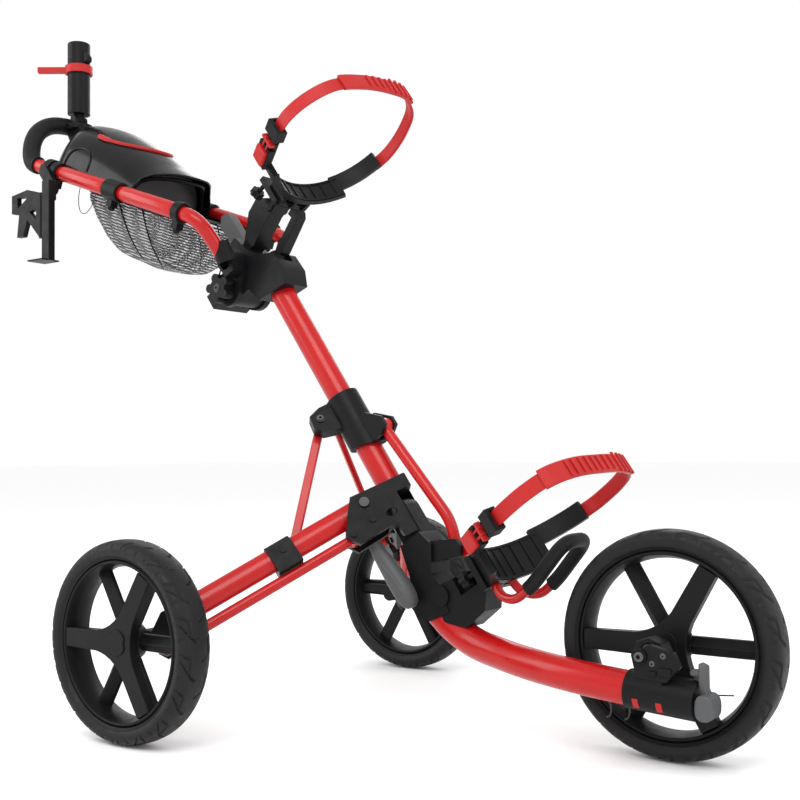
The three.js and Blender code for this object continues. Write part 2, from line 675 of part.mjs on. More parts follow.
function uBarGrip() {
  const points = uBarPath().getSpacedPoints(120).filter((p) => p.x > 138);
  const path = new THREE.CatmullRomCurve3(points.filter((_, i) => i % 3 === 0), false, "centripetal");
  return cut(pipe(path, 10.5, 22, { sides: 10 }), uBarRoom());
}

// ---------- handle ----------
const TUBE_FOOT = [42, 0.62, -48];
const TUBE_BEND = 14;
const TUBE_END = -437;

// The path of a handle tube, with its lower end moved on by a stretch.
function handleTubePath(side, stretch) {
  const y = -SIDES[side] * HANDLE_HALF_WIDTH;
  const [x, inset, z] = TUBE_FOOT;
  const grow = 1 + stretch / Math.hypot(x - TUBE_BEND, z);
  const foot = [TUBE_BEND + (x - TUBE_BEND) * grow, y * (1 - (1 - inset) * grow), z * grow];
  return roundedPath([foot, [TUBE_BEND, y, 0], [TUBE_END, y, 0]], 34);
}

function handleTube(side) {
  return pipe(handleTubePath(side, 0), HANDLE_TUBE_RADIUS, 30, { wall: TUBE_WALL, sides: 14 });
}

// The path of the foam grip, a loop that rises from one tube's end and comes back to the other's.
function gripPath() {
  const y = HANDLE_HALF_WIDTH;
  const side = (sign) => [
    [TUBE_END - 0.8, sign * y, 0],
    [-446, sign * y, 0],
    [-457, sign * y, 3],
    [-471, sign * (y - 3), 15],
    [-486, sign * (y - 11), 38],
    [-502, sign * (y - 31), 60],
    [-514, sign * (y - 65), 77],
  ];
  const places = [...side(-1), [-518, 0, 83], ...side(1).reverse()].map((p) => new THREE.Vector3(...p));
  return new THREE.CatmullRomCurve3(places, false, "centripetal");
}

const handleGrip = () => pipe(gripPath(), GRIP_RADIUS, 28, { sides: 12 });

// The head holds both tubes and turns on the bracket's lug. It is drawn in the mast frame.
function handleHead() {
  const [px, pz] = HANDLE_PIVOT;
  const cheek = (sign) => {
    const [y0, y1] = sign > 0 ? [30.5, 42] : [-42, -30.5];
    const web = [
      [px - 10, pz + 27], [px + 18, pz + 31], [-22, 498], [-8, 480], [-26, 450], [px + 10, pz - 28],
    ];
    return join(bar([px, y0, pz], [px, y1, pz], 30, 20), sidePrism(web, y0, y1));
  };
  const socket = (sign) => {
    const far = sign * 66;
    const arm = [[-43, 456], [-48, 482], [-22, 498], [-8, 480], [-24, 454]];
    const across = sidePrism(arm, Math.min(sign * 30.5, far), Math.max(sign * 30.5, far));
    return join(bar([-15, sign * 74, 506], [-27, sign * 66, 474], 16.5, 18), across);
  };
  const bridge = block([px - 44, px - 26.5], [-42, 42], [pz - 8, pz + 20]);
  const outside = join(cheek(-1), cheek(1), socket(-1), socket(1), bridge);
  return cut(outside, bar([px, -60, pz], [px, 60, pz], 7.4, 16));
}

function handlePin() {
  const [x, z] = HANDLE_PIVOT;
  return join(bar([x, -58, z], [x, 48, z], 7, 16), bar([x, 42.4, z], [x, 48, z], 12, 16));
}

function heightKnob() {
  const [x, z] = HANDLE_PIVOT;
  const lobes = Array.from({ length: 5 }, (_, i) => {
    const angle = (i * 2 * Math.PI) / 5;
    const lobe = [x + 18 * Math.cos(angle), z + 18 * Math.sin(angle)];
    return bar([lobe[0], -66, lobe[1]], [lobe[0], -48, lobe[1]], 8, 12);
  });
  const body = join(bar([x, -66, z], [x, -42.6, z], 17, 18), ...lobes);
  return cut(body, bar([x, -60, z], [x, -30, z], 7.4, 16));
}

function releaseCatch() {
  return sidePrism(
    [[-48, 540], [-36, 523], [-24, 523], [-22, 560], [-24, 600], [-40, 606], [-54, 590]], 8, 29,
  );
}

// The console's outer form, drawn in the handle frame and shrunk inwards by an amount.
function consoleForm(shrink, floor) {
  const side = [
    [-440, floor], [-460 + shrink, 30], [-460 + shrink, 72], [-450, 92 - shrink], [-420, 102 - shrink],
    [-380, 106 - shrink], [-310, 100 - shrink], [-236, 84 - shrink], [-186, 68 - shrink],
    [-126, 58 - shrink], [-106, 50 - shrink], [-150, floor],
  ];
  const profile = sidePrism(side, -130, 130);
  const half = HANDLE_HALF_WIDTH - HANDLE_TUBE_RADIUS - 2 - shrink;
  const count = 24;
  const arch = Array.from({ length: count + 1 }, (_, i) => {
    const angle = (Math.PI * i) / count;
    return [half * Math.cos(angle), floor + (108 - shrink - floor) * Math.sin(angle)];
  });
  const along = new THREE.ExtrudeGeometry(shapeOf(arch), { depth: 420, bevelEnabled: false });
  along.rotateX(Math.PI / 2);
  along.rotateZ(-Math.PI / 2);
  along.translate(-60, 0, 0);
  const rear = Array.from({ length: 17 }, (_, i) => {
    const angle = Math.PI / 2 + (Math.PI * i) / 16;
    return [-376 + (84 - shrink) * Math.cos(angle), 104 * Math.sin(angle)];
  });
  const plan = planPrism([...rear, [-60, -104], [-60, 104]], -60, 160);
  return profile.intersect(solid(along)).intersect(plan);
}

// The lid is a tongue in plan: straight at the back and rounded at the front.
const LID = { back: -426, shoulder: -330, front: -236, half: 66 };

function lidPlan(grow) {
  const front = Array.from({ length: 17 }, (_, i) => {
    const angle = Math.PI / 2 - (Math.PI * i) / 16;
    const reach = LID.front + grow - LID.shoulder;
    return [LID.shoulder + reach * Math.cos(angle), (LID.half + grow) * Math.sin(angle)];
  });
  const back = LID.back - grow;
  return [[back, LID.half + grow], ...front, [back, -LID.half - grow]].reverse();
}

// Where the console's clamps sit on the handle tubes, and half their lengths.
const CONSOLE_CLAMPS = [[-374, 8], [-208, 20], [-31, 9]];
const CUP_CLAMP_X = -393;
const CUP_CLAMP_HALF = 8;

function consoleClamps() {
  return CONSOLE_CLAMPS.flatMap(([x, half]) =>
    [-1, 1].map((sign) => {
      const y = sign * HANDLE_HALF_WIDTH;
      const ring = bar([x - half, y, 0], [x + half, y, 0], 18.5, 18);
      const ear = block([x - 7, x + 7], [y - 8, y + 8], [-30, -10]);
      return join(ring, ear);
    }),
  );
}

function consoleShell() {
  const outer = consoleForm(0, -14);
  const cavity = consoleForm(3, -10).intersect(block([-470, -100], [-130, 130], [-10, 200]));
  const mouth = sidePrism(
    [[-196, -8], [-188, 16], [-128, 50], [-90, 70], [-60, -60], [-140, -8]], -130, 130,
  );
  const lidHole = planPrism(lidPlan(GAP), 60, 200);
  const inner = HANDLE_HALF_WIDTH - HANDLE_TUBE_RADIUS - 6;
  const rails = [
    block([-400, -22], [-inner - 5, -inner], [-14, -5]),
    block([-400, -22], [inner, inner + 5], [-14, -5]),
  ];
  const bores = [-1, 1].map((sign) => {
    const y = sign * HANDLE_HALF_WIDTH;
    return bar([-600, y, 0], [100, y, 0], HANDLE_TUBE_RADIUS + GAP, 18);
  });
  const crossBar = block([-79, -70], [-100, 100], [-14, -5]);
  const [roomBack, roomFront] = [CUP_CLAMP_X - CUP_CLAMP_HALF - 1, CUP_CLAMP_X + CUP_CLAMP_HALF + 1];
  const cupRoom = bar([roomBack, -HANDLE_HALF_WIDTH, 0], [roomFront, -HANDLE_HALF_WIDTH, 0], 20.6, 18);
  const shell = cut(outer, cavity, mouth, lidHole);
  return cut(join(shell, ...consoleClamps(), ...rails, crossBar), ...bores, cupRoom);
}

function consoleLid() {
  const skin = cut(consoleForm(0, -14), consoleForm(3, -10));
  return skin.intersect(planPrism(lidPlan(0), 60, 200));
}

// The net's outer form, shrunk inwards by an amount.
function netForm(shrink, top) {
  const profile = [
    [-334 + shrink, top], [-262 + shrink, -92], [-226, -112 + shrink], [-118, -116 + shrink],
    [-92 - shrink, -100], [-76 - shrink, -60], [-68 - shrink, top],
  ];
  const half = 93 - shrink;
  const low = -116 + shrink;
  const section = [
    [-half, top], [6 - half, -70], [34 - half, low], [half - 34, low], [half - 6, -70], [half, top],
  ];
  const along = new THREE.ExtrudeGeometry(shapeOf(section), { depth: 400, bevelEnabled: false });
  along.rotateX(Math.PI / 2);
  along.rotateZ(-Math.PI / 2);
  return sidePrism(profile, -120, 120).intersect(solid(along));
}

const netBasket = () => cut(netForm(0, -18), netForm(3, -10));

const UMBRELLA = new THREE.Vector3(-547, 0, 1084);

const UMBRELLA_PIVOT = -4;

function umbrellaSocket() {
  const cup = bar([0, 0, -24], [0, 0, -15], 27, 24);
  const foot = sidePrism([[-22, -20], [22, -20], [40, -44], [-6, -52]], -16, 16);
  const ear = (y) => join(
    bar([0, y - 3.5, UMBRELLA_PIVOT], [0, y + 3.5, UMBRELLA_PIVOT], 8, 14),
    block([-8, 8], [y - 3.5, y + 3.5], [-16, UMBRELLA_PIVOT]),
  );
  const pin = bar([0, -12, UMBRELLA_PIVOT], [0, 12, UMBRELLA_PIVOT], 3, 10);
  return join(cup, foot, ear(-11.5), ear(11.5), pin);
}

function umbrellaTube() {
  const tube = bar([0, 0, 7], [0, 0, 150], 22, 24);
  const bore = bar([0, 0, 14], [0, 0, 160], 18.5, 24);
  const cam = sidePrism([[20, 105.5], [31, 110], [31, 118], [20, 132]], -7, 7);
  const lug = join(
    bar([0, -7.5, UMBRELLA_PIVOT], [0, 7.5, UMBRELLA_PIVOT], 7.5, 14),
    block([-7, 7], [-7.5, 7.5], [UMBRELLA_PIVOT, 8]),
  );
  return cut(
    join(cut(join(tube, cam), bore), lug),
    bar([0, -20, UMBRELLA_PIVOT], [0, 20, UMBRELLA_PIVOT], 3 + GAP, 10),
  );
}

function umbrellaClamp() {
  const ring = bar([0, 0, 88], [0, 0, 104], 27, 24);
  const tail = placed(
    new THREE.BoxGeometry(66, 12, 11),
    new THREE.Matrix4().makeRotationZ(Math.atan2(-0.6, -0.8)).multiply(
      new THREE.Matrix4().makeTranslation(48, 0, 97),
    ),
  );
  return cut(join(ring, tail), bar([0, 0, 80], [0, 0, 130], 22.5, 24));
}

const CUP = { x: -446, y: -152, top: 902, bottom: 768 };

function cupSpine() {
  const column = block([CUP.x - 9, CUP.x + 12], [CUP.y - 7, CUP.y + 7], [CUP.bottom, CUP.top]);
  const foot = block([CUP.x - 34, CUP.x + 8], [CUP.y - 20, CUP.y + 20], [CUP.bottom, CUP.bottom + 3]);
  const neck = block([CUP.x - 9, CUP.x + 12], [CUP.y - 7, CUP.y + 10], [CUP.top - 22, CUP.top + 14]);
  return join(column, foot, neck);
}

function cupWing() {
  const root = CUP.x - 17;
  const barrel = bar([root, CUP.y, 812], [root, CUP.y, 896], 5.5, 12);
  const upper = sidePrism(
    [
      [root, 896], [-500, 906], [-546, 900], [-546, 866], [-524, 862], [-530, 820], [-512, 820],
      [-500, 850], [root, 812],
    ],
    CUP.y - 5,
    CUP.y + 5,
  );
  const window = sidePrism([[-530, 894], [-498, 892], [-528, 874]], CUP.y - 20, CUP.y + 20);
  const lower = sidePrism([[-494, 864], [-474, 868], [-474, 846]], CUP.y - 20, CUP.y + 20);
  return cut(join(upper, barrel), window, lower);
}

const CUP_PIVOT = [-446, 902];

// The clamp grips the right handle tube and carries the cup holder's swivel.
function cupClamp(place) {
  const y = -HANDLE_HALF_WIDTH;
  const [back, front] = [CUP_CLAMP_X - CUP_CLAMP_HALF, CUP_CLAMP_X + CUP_CLAMP_HALF];
  const ring = bar([back, y, 0], [front, y, 0], 20, 18);
  const bore = bar([back - 20, y, 0], [front + 20, y, 0], HANDLE_TUBE_RADIUS + GAP, 18);
  const root = block([back + 1, front - 1], [y - 24, y - 19], [-12, 6]).transform(place.elements);
  const [pivotX, pivotZ] = CUP_PIVOT;
  const boss = bar([pivotX, y - 26, pivotZ], [pivotX, y - 19.5, pivotZ], 9, 16);
  return join(cut(ring, bore).transform(place.elements), hull(root, boss));
}

// ---------- wheels ----------
function lathe(profile) {
  const points = [...profile, profile[0]].map(([r, y]) => new THREE.Vector2(r, y));
  return solid(new THREE.LatheGeometry(points, WHEEL_SEGMENTS));
}

function tyre(radius) {
  const half = TYRE_HALF_WIDTH;
  const bead = radius - RIM_DEPTH + GAP;
  return lathe([
    [bead, -half + 6], [radius - 15, -half], [radius - 5, -half + 4], [radius, -10],
    [radius, 10], [radius - 5, half - 4], [radius - 15, half], [bead, half - 6],
  ]);
}

// The rim's outer trio of spokes lies on its -Y face and the inner trio is set back.
function rim(radius) {
  const seat = radius - RIM_DEPTH;
  const barrel = lathe([[seat - 9, -23], [seat, -21], [seat, 21], [seat - 9, 23]]);
  const hub = lathe(
    [[AXLE_RADIUS + GAP, -24], [25, -24], [29, -10], [29, 10], [22, 22], [AXLE_RADIUS + GAP, 22]],
  );
  const spokes = Array.from({ length: 6 }, (_, i) => {
    const outer = i % 2 === 1;
    const [y0, y1] = outer ? [-22, -2] : [-12, 8];
    const spoke = sidePrism([[16, -17], [seat - 5, -13], [seat - 5, 13], [16, 17]], y0, y1);
    return spoke.transform(new THREE.Matrix4().makeRotationY((i * Math.PI) / 3).elements);
  });
  const bore = bar([0, -60, 0], [0, 60, 0], AXLE_RADIUS + GAP, 16);
  return cut(join(barrel, hub, ...spokes), bore);
}

function addWheel(name, radius, position, mirror) {
  const group = addGroup(trolley, position);
  group.scale.y = mirror;
  addMesh(group, `${name}_tyre`, tyre(radius), TYRE_RUBBER);
  addMesh(group, `${name}_rim`, rim(radius), BLACK_PLASTIC);
}

// ---------- assembly ----------
addMesh(mastFrame, "mast_tube", mastTube(), RED_PAINT);
addMesh(mastFrame, "hub_block", hubBlock(), BLACK_PLASTIC);
addMesh(mastFrame, "fold_hinge_bolt", bar([0, -31, HINGE_Z], [0, 31, HINGE_Z], 6, 16), STEEL);
addMesh(mastFrame, "collar_sleeve", collarSleeve(), BLACK_PLASTIC);
addMesh(mastFrame, "front_rod", frontRod(), RED_PAINT);
addMesh(mastFrame, "upper_bracket", handleBracket(), BLACK_PLASTIC);
addMesh(mastFrame, "fold_lever", foldLever(), BLACK_PLASTIC);

for (const side of Object.keys(SIDES)) {
  const leg = legFrames[side];
  addMesh(leg, `${side}_leg_bolt`, pivotBolt(LEG_PIVOT), STEEL);
  addMesh(leg, `${side}_strut`, strut(), RED_PAINT);
  const legAxis = addGroup(leg, [LEG_PIVOT[0], 0, LEG_PIVOT[1]], [0, LEG_DROP, 0]);
  addMesh(legAxis, `${side}_leg_tube`, legTube(), RED_PAINT);
  addMesh(legAxis, `${side}_leg_clamp`, legClamp(), BLACK_PLASTIC);
  const rodAxis = addGroup(leg, [ROD_PIVOT[0], 0, ROD_PIVOT[1]], [0, LEG_DROP, 0]);
  addMesh(rodAxis, `${side}_lower_rod`, lowerRod(), RED_PAINT);
  addMesh(mastFrame, `${side}_axle_carrier`, axleCarrier(side), BLACK_PLASTIC);
  addWheel(`${side}_rear`, REAR_RADIUS, [0, -SIDES[side] * HALF_TRACK, REAR_RADIUS], SIDES[side]);
}
addWheel("front", FRONT_RADIUS, [WHEELBASE, 0, FRONT_RADIUS], 1);

// Carries a solid from the mast frame to the trolley's frame.
const mastPlace = new THREE.Matrix4().compose(
  MAST_BASE,
  new THREE.Quaternion().setFromEuler(new THREE.Euler(0, -MAST_LEAN, 0)),
  new THREE.Vector3(1, 1, 1),
);
const toTrolley = (manifold) => manifold.transform(mastPlace.elements);
const knobRoom = toTrolley(
  bar([30, LOWER_KNOB[1], LOWER_KNOB[2]], [80, LOWER_KNOB[1], LOWER_KNOB[2]], 15, 16),
);
const castingBody = join(toTrolley(boomCasting()), toTrolley(latchPin()));
const castingSolid = cut(castingBody, boomSweep(BOOM_RADIUS + 0.5, 0), toTrolley(uBarRoom()), knobRoom);
addMesh(trolley, "boom_casting", castingSolid, BLACK_PLASTIC);
addMesh(trolley, "boom_tube", boomSweep(BOOM_RADIUS, TUBE_WALL), RED_PAINT);
addMesh(mastFrame, "latch_lever", latchLever(), GREY_PLASTIC);
addMesh(trolley, "nose_sleeve", noseSleeve(), BLACK_PLASTIC);
addMesh(trolley, "axle_bracket", axleBracket(), BLACK_PLASTIC);
addMesh(trolley, "front_axle", frontAxle(), STEEL);
addMesh(trolley, "nose_lever", noseLever(), GREY_PLASTIC);

const STRAPS = {
  lower: {
    ring: LOWER_RING,
    buckle: [[132, -98], [206, -138]],
    strap: [
      [188, -128], [230, -142], [270, -147], [302, -138], [322, -100], [329, -40], [328, 30], [312, 88],
      [280, 118], [248, 132], [222, 138], [206, 137], [192, 134.5],
    ],
    tab: [20, 40],
  },
  upper: {
    ring: UPPER_RING,
    buckle: [[152, -98], [226, -132]],
    strap: [
      [208, -124], [248, -132], [290, -122], [326, -96], [346, -50], [356, 5], [356, 58], [334, 100],
      [300, 122], [268, 134], [242, 138.5], [226, 137.5], [212, 135],
    ],
    tab: [21, 43],
  },
};
for (const [level, { ring, buckle, strap, tab }] of Object.entries(STRAPS)) {
  const strapRoom = sweep(strapPath(ring, strap), band(12, 2.7), 28);
  const { buckle: frame, button } = buckleParts(ring, ...buckle, strapRoom);
  addMesh(mastFrame, `${level}_buckle`, frame, BLACK_PLASTIC);
  addMesh(mastFrame, `${level}_button`, button, RED_RUBBER);
  addMesh(mastFrame, `${level}_strap`, strapRing(ring, strap, ...tab), RED_RUBBER);
}
addMesh(
  mastFrame, "lower_saddle", cut(saddle(LOWER_RING, 56, [28, 28], LOWER_KNOB), uBarRoom()),
  BLACK_PLASTIC,
);
addMesh(
  mastFrame, "upper_saddle", join(saddle(UPPER_RING, 40, [15, 40], UPPER_KNOB), ...saddleEars()),
  BLACK_PLASTIC,
);
addMesh(mastFrame, "lower_knob", handKnob(LOWER_KNOB, 26), BLACK_PLASTIC);
addMesh(mastFrame, "upper_knob", handKnob(UPPER_KNOB, 24, 11), BLACK_PLASTIC);
addMesh(mastFrame, "u_bar", uBar(), RED_PAINT);
addMesh(mastFrame, "u_bar_grip", uBarGrip(), FOAM);

addMesh(handleFrame, "right_handle_tube", handleTube("right"), RED_PAINT);
addMesh(handleFrame, "left_handle_tube", handleTube("left"), RED_PAINT);
addMesh(handleFrame, "handle_grip", handleGrip(), FOAM);
const handlePlace = new THREE.Matrix4().compose(
  HANDLE_ORIGIN,
  new THREE.Quaternion().setFromEuler(new THREE.Euler(0, HANDLE_SLOPE, 0)),
  new THREE.Vector3(1, 1, 1),
);
const socketBores = ["right", "left"].map((side) =>
  pipe(handleTubePath(side, 30), HANDLE_TUBE_RADIUS + 0.6, 32).transform(handlePlace.elements),
);
addMesh(trolley, "handle_head", cut(toTrolley(handleHead()), ...socketBores), BLACK_PLASTIC);
addMesh(mastFrame, "handle_pin", handlePin(), STEEL);
addMesh(mastFrame, "height_knob", heightKnob(), BLACK_PLASTIC);
addMesh(mastFrame, "release_catch", releaseCatch(), GREY_PLASTIC);
addMesh(handleFrame, "console_shell", consoleShell(), GLOSS_BLACK);
addMesh(handleFrame, "console_lid", consoleLid(), GLOSS_BLACK);
addMesh(handleFrame, "net_basket", netBasket(), NET);
addMesh(trolley, "cup_clamp", cupClamp(handlePlace), BLACK_PLASTIC);
addMesh(trolley, "cup_spine", cupSpine(), BLACK_PLASTIC);
addMesh(trolley, "cup_wing", cupWing(), BLACK_PLASTIC);

const umbrellaFrame = addGroup(trolley, UMBRELLA.toArray());
const consoleInUmbrella = new THREE.Matrix4().makeTranslation(
  ...UMBRELLA.clone().negate().toArray(),
).multiply(handlePlace);
const consoleRoom = consoleForm(-0.5, -14.5).transform(consoleInUmbrella.elements);
const gripRoom = pipe(
  gripPath(), GRIP_RADIUS + 0.5, 30, { sides: 16 },
).transform(consoleInUmbrella.elements);
addMesh(umbrellaFrame, "umbrella_socket", cut(umbrellaSocket(), consoleRoom, gripRoom), BLACK_PLASTIC);
addMesh(umbrellaFrame, "umbrella_tube", umbrellaTube(), BLACK_PLASTIC);
addMesh(umbrellaFrame, "umbrella_clamp", umbrellaClamp(), RED_RUBBER);

// The origin is the middle of the trolley's box, on the ground.
const bounds = new THREE.Box3().setFromObject(trolley, true);
const middle = bounds.getCenter(new THREE.Vector3());
trolley.position.set(-middle.x, -middle.y, -bounds.min.z);
trolley.updateMatrixWorld(true);

export default trolley;
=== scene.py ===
# A three-wheeled golf push trolley: the visual model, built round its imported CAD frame. Metres.
import json
import math

import bmesh
import bpy
from mathutils import Matrix, Vector


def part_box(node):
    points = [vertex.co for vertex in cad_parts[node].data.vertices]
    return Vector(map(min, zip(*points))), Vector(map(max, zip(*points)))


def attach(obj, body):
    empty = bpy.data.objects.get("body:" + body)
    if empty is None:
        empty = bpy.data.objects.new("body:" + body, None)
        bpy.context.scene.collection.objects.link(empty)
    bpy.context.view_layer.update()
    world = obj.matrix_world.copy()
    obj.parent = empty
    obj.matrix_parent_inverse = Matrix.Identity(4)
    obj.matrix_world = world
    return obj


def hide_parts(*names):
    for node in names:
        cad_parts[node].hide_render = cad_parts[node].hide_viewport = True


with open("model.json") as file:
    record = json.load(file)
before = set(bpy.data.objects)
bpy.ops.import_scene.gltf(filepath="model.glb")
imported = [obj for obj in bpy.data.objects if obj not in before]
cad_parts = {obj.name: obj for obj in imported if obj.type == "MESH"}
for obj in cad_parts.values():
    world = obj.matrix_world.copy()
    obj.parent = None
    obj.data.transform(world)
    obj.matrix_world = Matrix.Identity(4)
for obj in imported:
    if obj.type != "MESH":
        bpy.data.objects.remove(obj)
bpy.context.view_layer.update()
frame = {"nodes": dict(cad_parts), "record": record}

SCENE = bpy.context.scene

# ---------- the frames that pieces are drawn in, in millimetres ----------
# TROLLEY starts on the floor below the rear axle, with x forwards. MAST starts near the mast's foot, with
# z up the mast. HANDLE's x runs forwards and down along the handle's tubes.
tyre_low, tyre_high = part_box("right_rear_tyre")
AXLE_X = (tyre_low.x + tyre_high.x) / 2
MAST_BASE, MAST_LEAN = (211, 0, 363), math.radians(34.4)
HANDLE_ORIGIN, HANDLE_SLOPE = (-110, 0, 813), math.radians(20)
TROLLEY = Matrix.Translation((AXLE_X, 0, 0)) @ Matrix.Scale(0.001, 4)
MAST = TROLLEY @ Matrix.Translation(MAST_BASE) @ Matrix.Rotation(-MAST_LEAN, 4, "Y")
HANDLE = TROLLEY @ Matrix.Translation(HANDLE_ORIGIN) @ Matrix.Rotation(HANDLE_SLOPE, 4, "Y")
LEG_SPREAD, LEG_DROP = math.radians(43.3), math.atan(0.098)
LEG_PIVOT, ROD_PIVOT, LEG_LENGTH = (56, -17.4), (94, -57.2), 322
SIDES = {"right": 1, "left": -1}


def leg_frame(side):
    """A frame whose x runs outwards and back from the mast, in the plane that a leg swings in."""
    mirrored = Matrix.Diagonal((1, SIDES[side], 1, 1))
    return MAST @ mirrored @ Matrix.Rotation(-math.pi / 2 - LEG_SPREAD, 4, "Z")


def along_leg(side, pivot):
    """A frame at a pivot given as x and z, whose x runs along the leg."""
    return leg_frame(side) @ Matrix.Translation((pivot[0], 0, pivot[1])) @ Matrix.Rotation(LEG_DROP, 4, "Y")


# ---------- materials ----------
def surface(name, dark, light, rough, grain, depth, strength, mottle=14, **settings):
    """A material whose colour and roughness wander slowly and whose bump is a fine grain.

    `mottle` and `grain` are the noise scales of the two, and `depth` is the bump's distance in metres.
    `settings` are inputs of the shader.
    """
    material = bpy.data.materials.new(name)
    material.use_nodes = True
    tree = material.node_tree
    shader = tree.nodes["Principled BSDF"]
    place = tree.nodes.new("ShaderNodeTexCoord")

    def noise(scale, detail):
        node = tree.nodes.new("ShaderNodeTexNoise")
        node.inputs["Scale"].default_value = scale
        node.inputs["Detail"].default_value = detail
        tree.links.new(place.outputs["Object"], node.inputs["Vector"])
        return node.outputs["Fac"]

    wide, fine = noise(mottle, 4), noise(grain, 3)
    colours = tree.nodes.new("ShaderNodeMix")
    colours.data_type = "RGBA"
    colours.inputs["A"].default_value = (*dark, 1)
    colours.inputs["B"].default_value = (*light, 1)
    tree.links.new(wide, colours.inputs["Factor"])
    tree.links.new(colours.outputs["Result"], shader.inputs["Base Color"])
    span = tree.nodes.new("ShaderNodeMapRange")
    span.inputs["From Min"].default_value, span.inputs["From Max"].default_value = 0.3, 0.7
    span.inputs["To Min"].default_value, span.inputs["To Max"].default_value = rough
    tree.links.new(noise(mottle * 4, 5), span.inputs["Value"])
    tree.links.new(span.outputs["Result"], shader.inputs["Roughness"])
    bump = tree.nodes.new("ShaderNodeBump")
    bump.inputs["Strength"].default_value = strength
    bump.inputs["Distance"].default_value = depth
    tree.links.new(fine, bump.inputs["Height"])
    tree.links.new(bump.outputs["Normal"], shader.inputs["Normal"])
    for socket, value in settings.items():
        shader.inputs[socket.replace("_", " ")].default_value = value
    return material


LOOKS = {
    "red_paint": surface(
        "red_powder_coat", (0.37, 0.0035, 0.0035), (0.44, 0.005, 0.005), (0.26, 0.36),
        1500, 0.00004, 0.25, Coat_Weight=0.22, Coat_Roughness=0.1, Specular_IOR_Level=0.22,
    ),
    "black_plastic": surface(
        "satin_black_plastic", (0.004, 0.004, 0.0045), (0.008, 0.008, 0.009), (0.36, 0.5),
        1800, 0.00008, 0.35, Specular_IOR_Level=0.13,
    ),
    "gloss_black": surface(
        "gloss_black_plastic", (0.003, 0.003, 0.0035), (0.006, 0.006, 0.007), (0.2, 0.3),
        900, 0.00003, 0.2, Coat_Weight=0.1, Coat_Roughness=0.08, Specular_IOR_Level=0.1,
    ),
    "grey_plastic": surface(
        "grey_plastic", (0.06, 0.062, 0.064), (0.09, 0.092, 0.094), (0.4, 0.52),
        1600, 0.00008, 0.35, Specular_IOR_Level=0.25,
    ),
    "red_rubber": surface(
        "red_rubber", (0.36, 0.009, 0.009), (0.43, 0.015, 0.014), (0.42, 0.55),
        1200, 0.00008, 0.3, Specular_IOR_Level=0.25,
    ),
    "tyre_rubber": surface(
        "tyre_rubber", (0.006, 0.006, 0.0065), (0.012, 0.012, 0.0125), (0.42, 0.6),
        1000, 0.00014, 0.5, 30, Specular_IOR_Level=0.2,
    ),
    "foam": surface(
        "grip_foam", (0.005, 0.005, 0.005), (0.012, 0.012, 0.012), (0.5, 0.66),
        900, 0.0003, 0.6, 60, Specular_IOR_Level=0.16,
    ),
    "steel": surface(
        "blackened_steel", (0.03, 0.03, 0.032), (0.07, 0.07, 0.074), (0.24, 0.4),
        1400, 0.00005, 0.3, Metallic=1.0,
    ),
}


def net_look():
    """Black woven mesh: two sets of slanting threads with open holes between them. The grey along one set of
    threads is painted light, standing in for the bright backdrop seen through the net.
    """
    material = bpy.data.materials.new("woven_net")
    material.use_nodes = True
    tree = material.node_tree
    shader = tree.nodes["Principled BSDF"]
    shader.inputs["Roughness"].default_value = 0.75
    place = tree.nodes.new("ShaderNodeTexCoord")

    def threads(turn, scale, distortion):
        mapping = tree.nodes.new("ShaderNodeMapping")
        mapping.inputs["Rotation"].default_value = turn
        tree.links.new(place.outputs["Object"], mapping.inputs["Vector"])
        wave = tree.nodes.new("ShaderNodeTexWave")
        wave.bands_direction = "Z"
        wave.inputs["Scale"].default_value = scale
        wave.inputs["Distortion"].default_value = distortion
        wave.inputs["Detail"].default_value = 1.5
        wave.inputs["Detail Scale"].default_value = 1.2
        tree.links.new(mapping.outputs["Vector"], wave.inputs["Vector"])
        return wave.outputs["Fac"]

    def combine(operation, a, b):
        node = tree.nodes.new("ShaderNodeMath")
        node.operation = operation
        for socket, value in zip(node.inputs, (a, b)):
            if isinstance(value, float):
                socket.default_value = value
            else:
                tree.links.new(value, socket)
        return node.outputs["Value"]

    rows = threads((0, math.radians(-22), 0), 62.0, 2.2)
    slant = threads((0.5, math.radians(50), 0), 105.0, 1.0)
    open_share = combine("MULTIPLY", rows, slant)
    solid = combine("LESS_THAN", open_share, 0.3)
    tree.links.new(solid, shader.inputs["Alpha"])
    # Painted light: grey along the row threads, for the bright backdrop seen through the net. The threads
    # themselves are black.
    colours = tree.nodes.new("ShaderNodeMix")
    colours.data_type = "RGBA"
    colours.inputs["A"].default_value = (0.012, 0.012, 0.013, 1)
    colours.inputs["B"].default_value = (0.3, 0.3, 0.31, 1)
    tree.links.new(rows, colours.inputs["Factor"])
    tree.links.new(colours.outputs["Result"], shader.inputs["Base Color"])
    bump = tree.nodes.new("ShaderNodeBump")
    bump.inputs["Strength"].default_value = 0.5
    bump.inputs["Distance"].default_value = 0.0006
    tree.links.new(rows, bump.inputs["Height"])
    tree.links.new(bump.outputs["Normal"], shader.inputs["Normal"])
    return material


LOOKS["net"] = net_look()


# ---------- shapes, each a pair of points and faces ----------
def merged(*parts):
    """Several shapes as one."""
    points, faces = [], []
    for part_points, part_faces in parts:
        start = len(points)
        points += [Vector(p) for p in part_points]
        faces += [tuple(start + i for i in face) for face in part_faces]
    return points, faces


def moved(part, matrix):
    return [matrix @ Vector(p) for p in part[0]], part[1]


def ring(half_x, half_y=None, count=32):
    """A circle's or an oval's points, as a section."""
    half_y = half_x if half_y is None else half_y
    turn = 2 * math.pi / count
    return [(half_x * math.cos(i * turn), half_y * math.sin(i * turn)) for i in range(count)]


def squared(value, power):
    """A sine or cosine pushed outwards, which squares a circle or an arch off a little."""
    return math.copysign(abs(value) ** power, value)


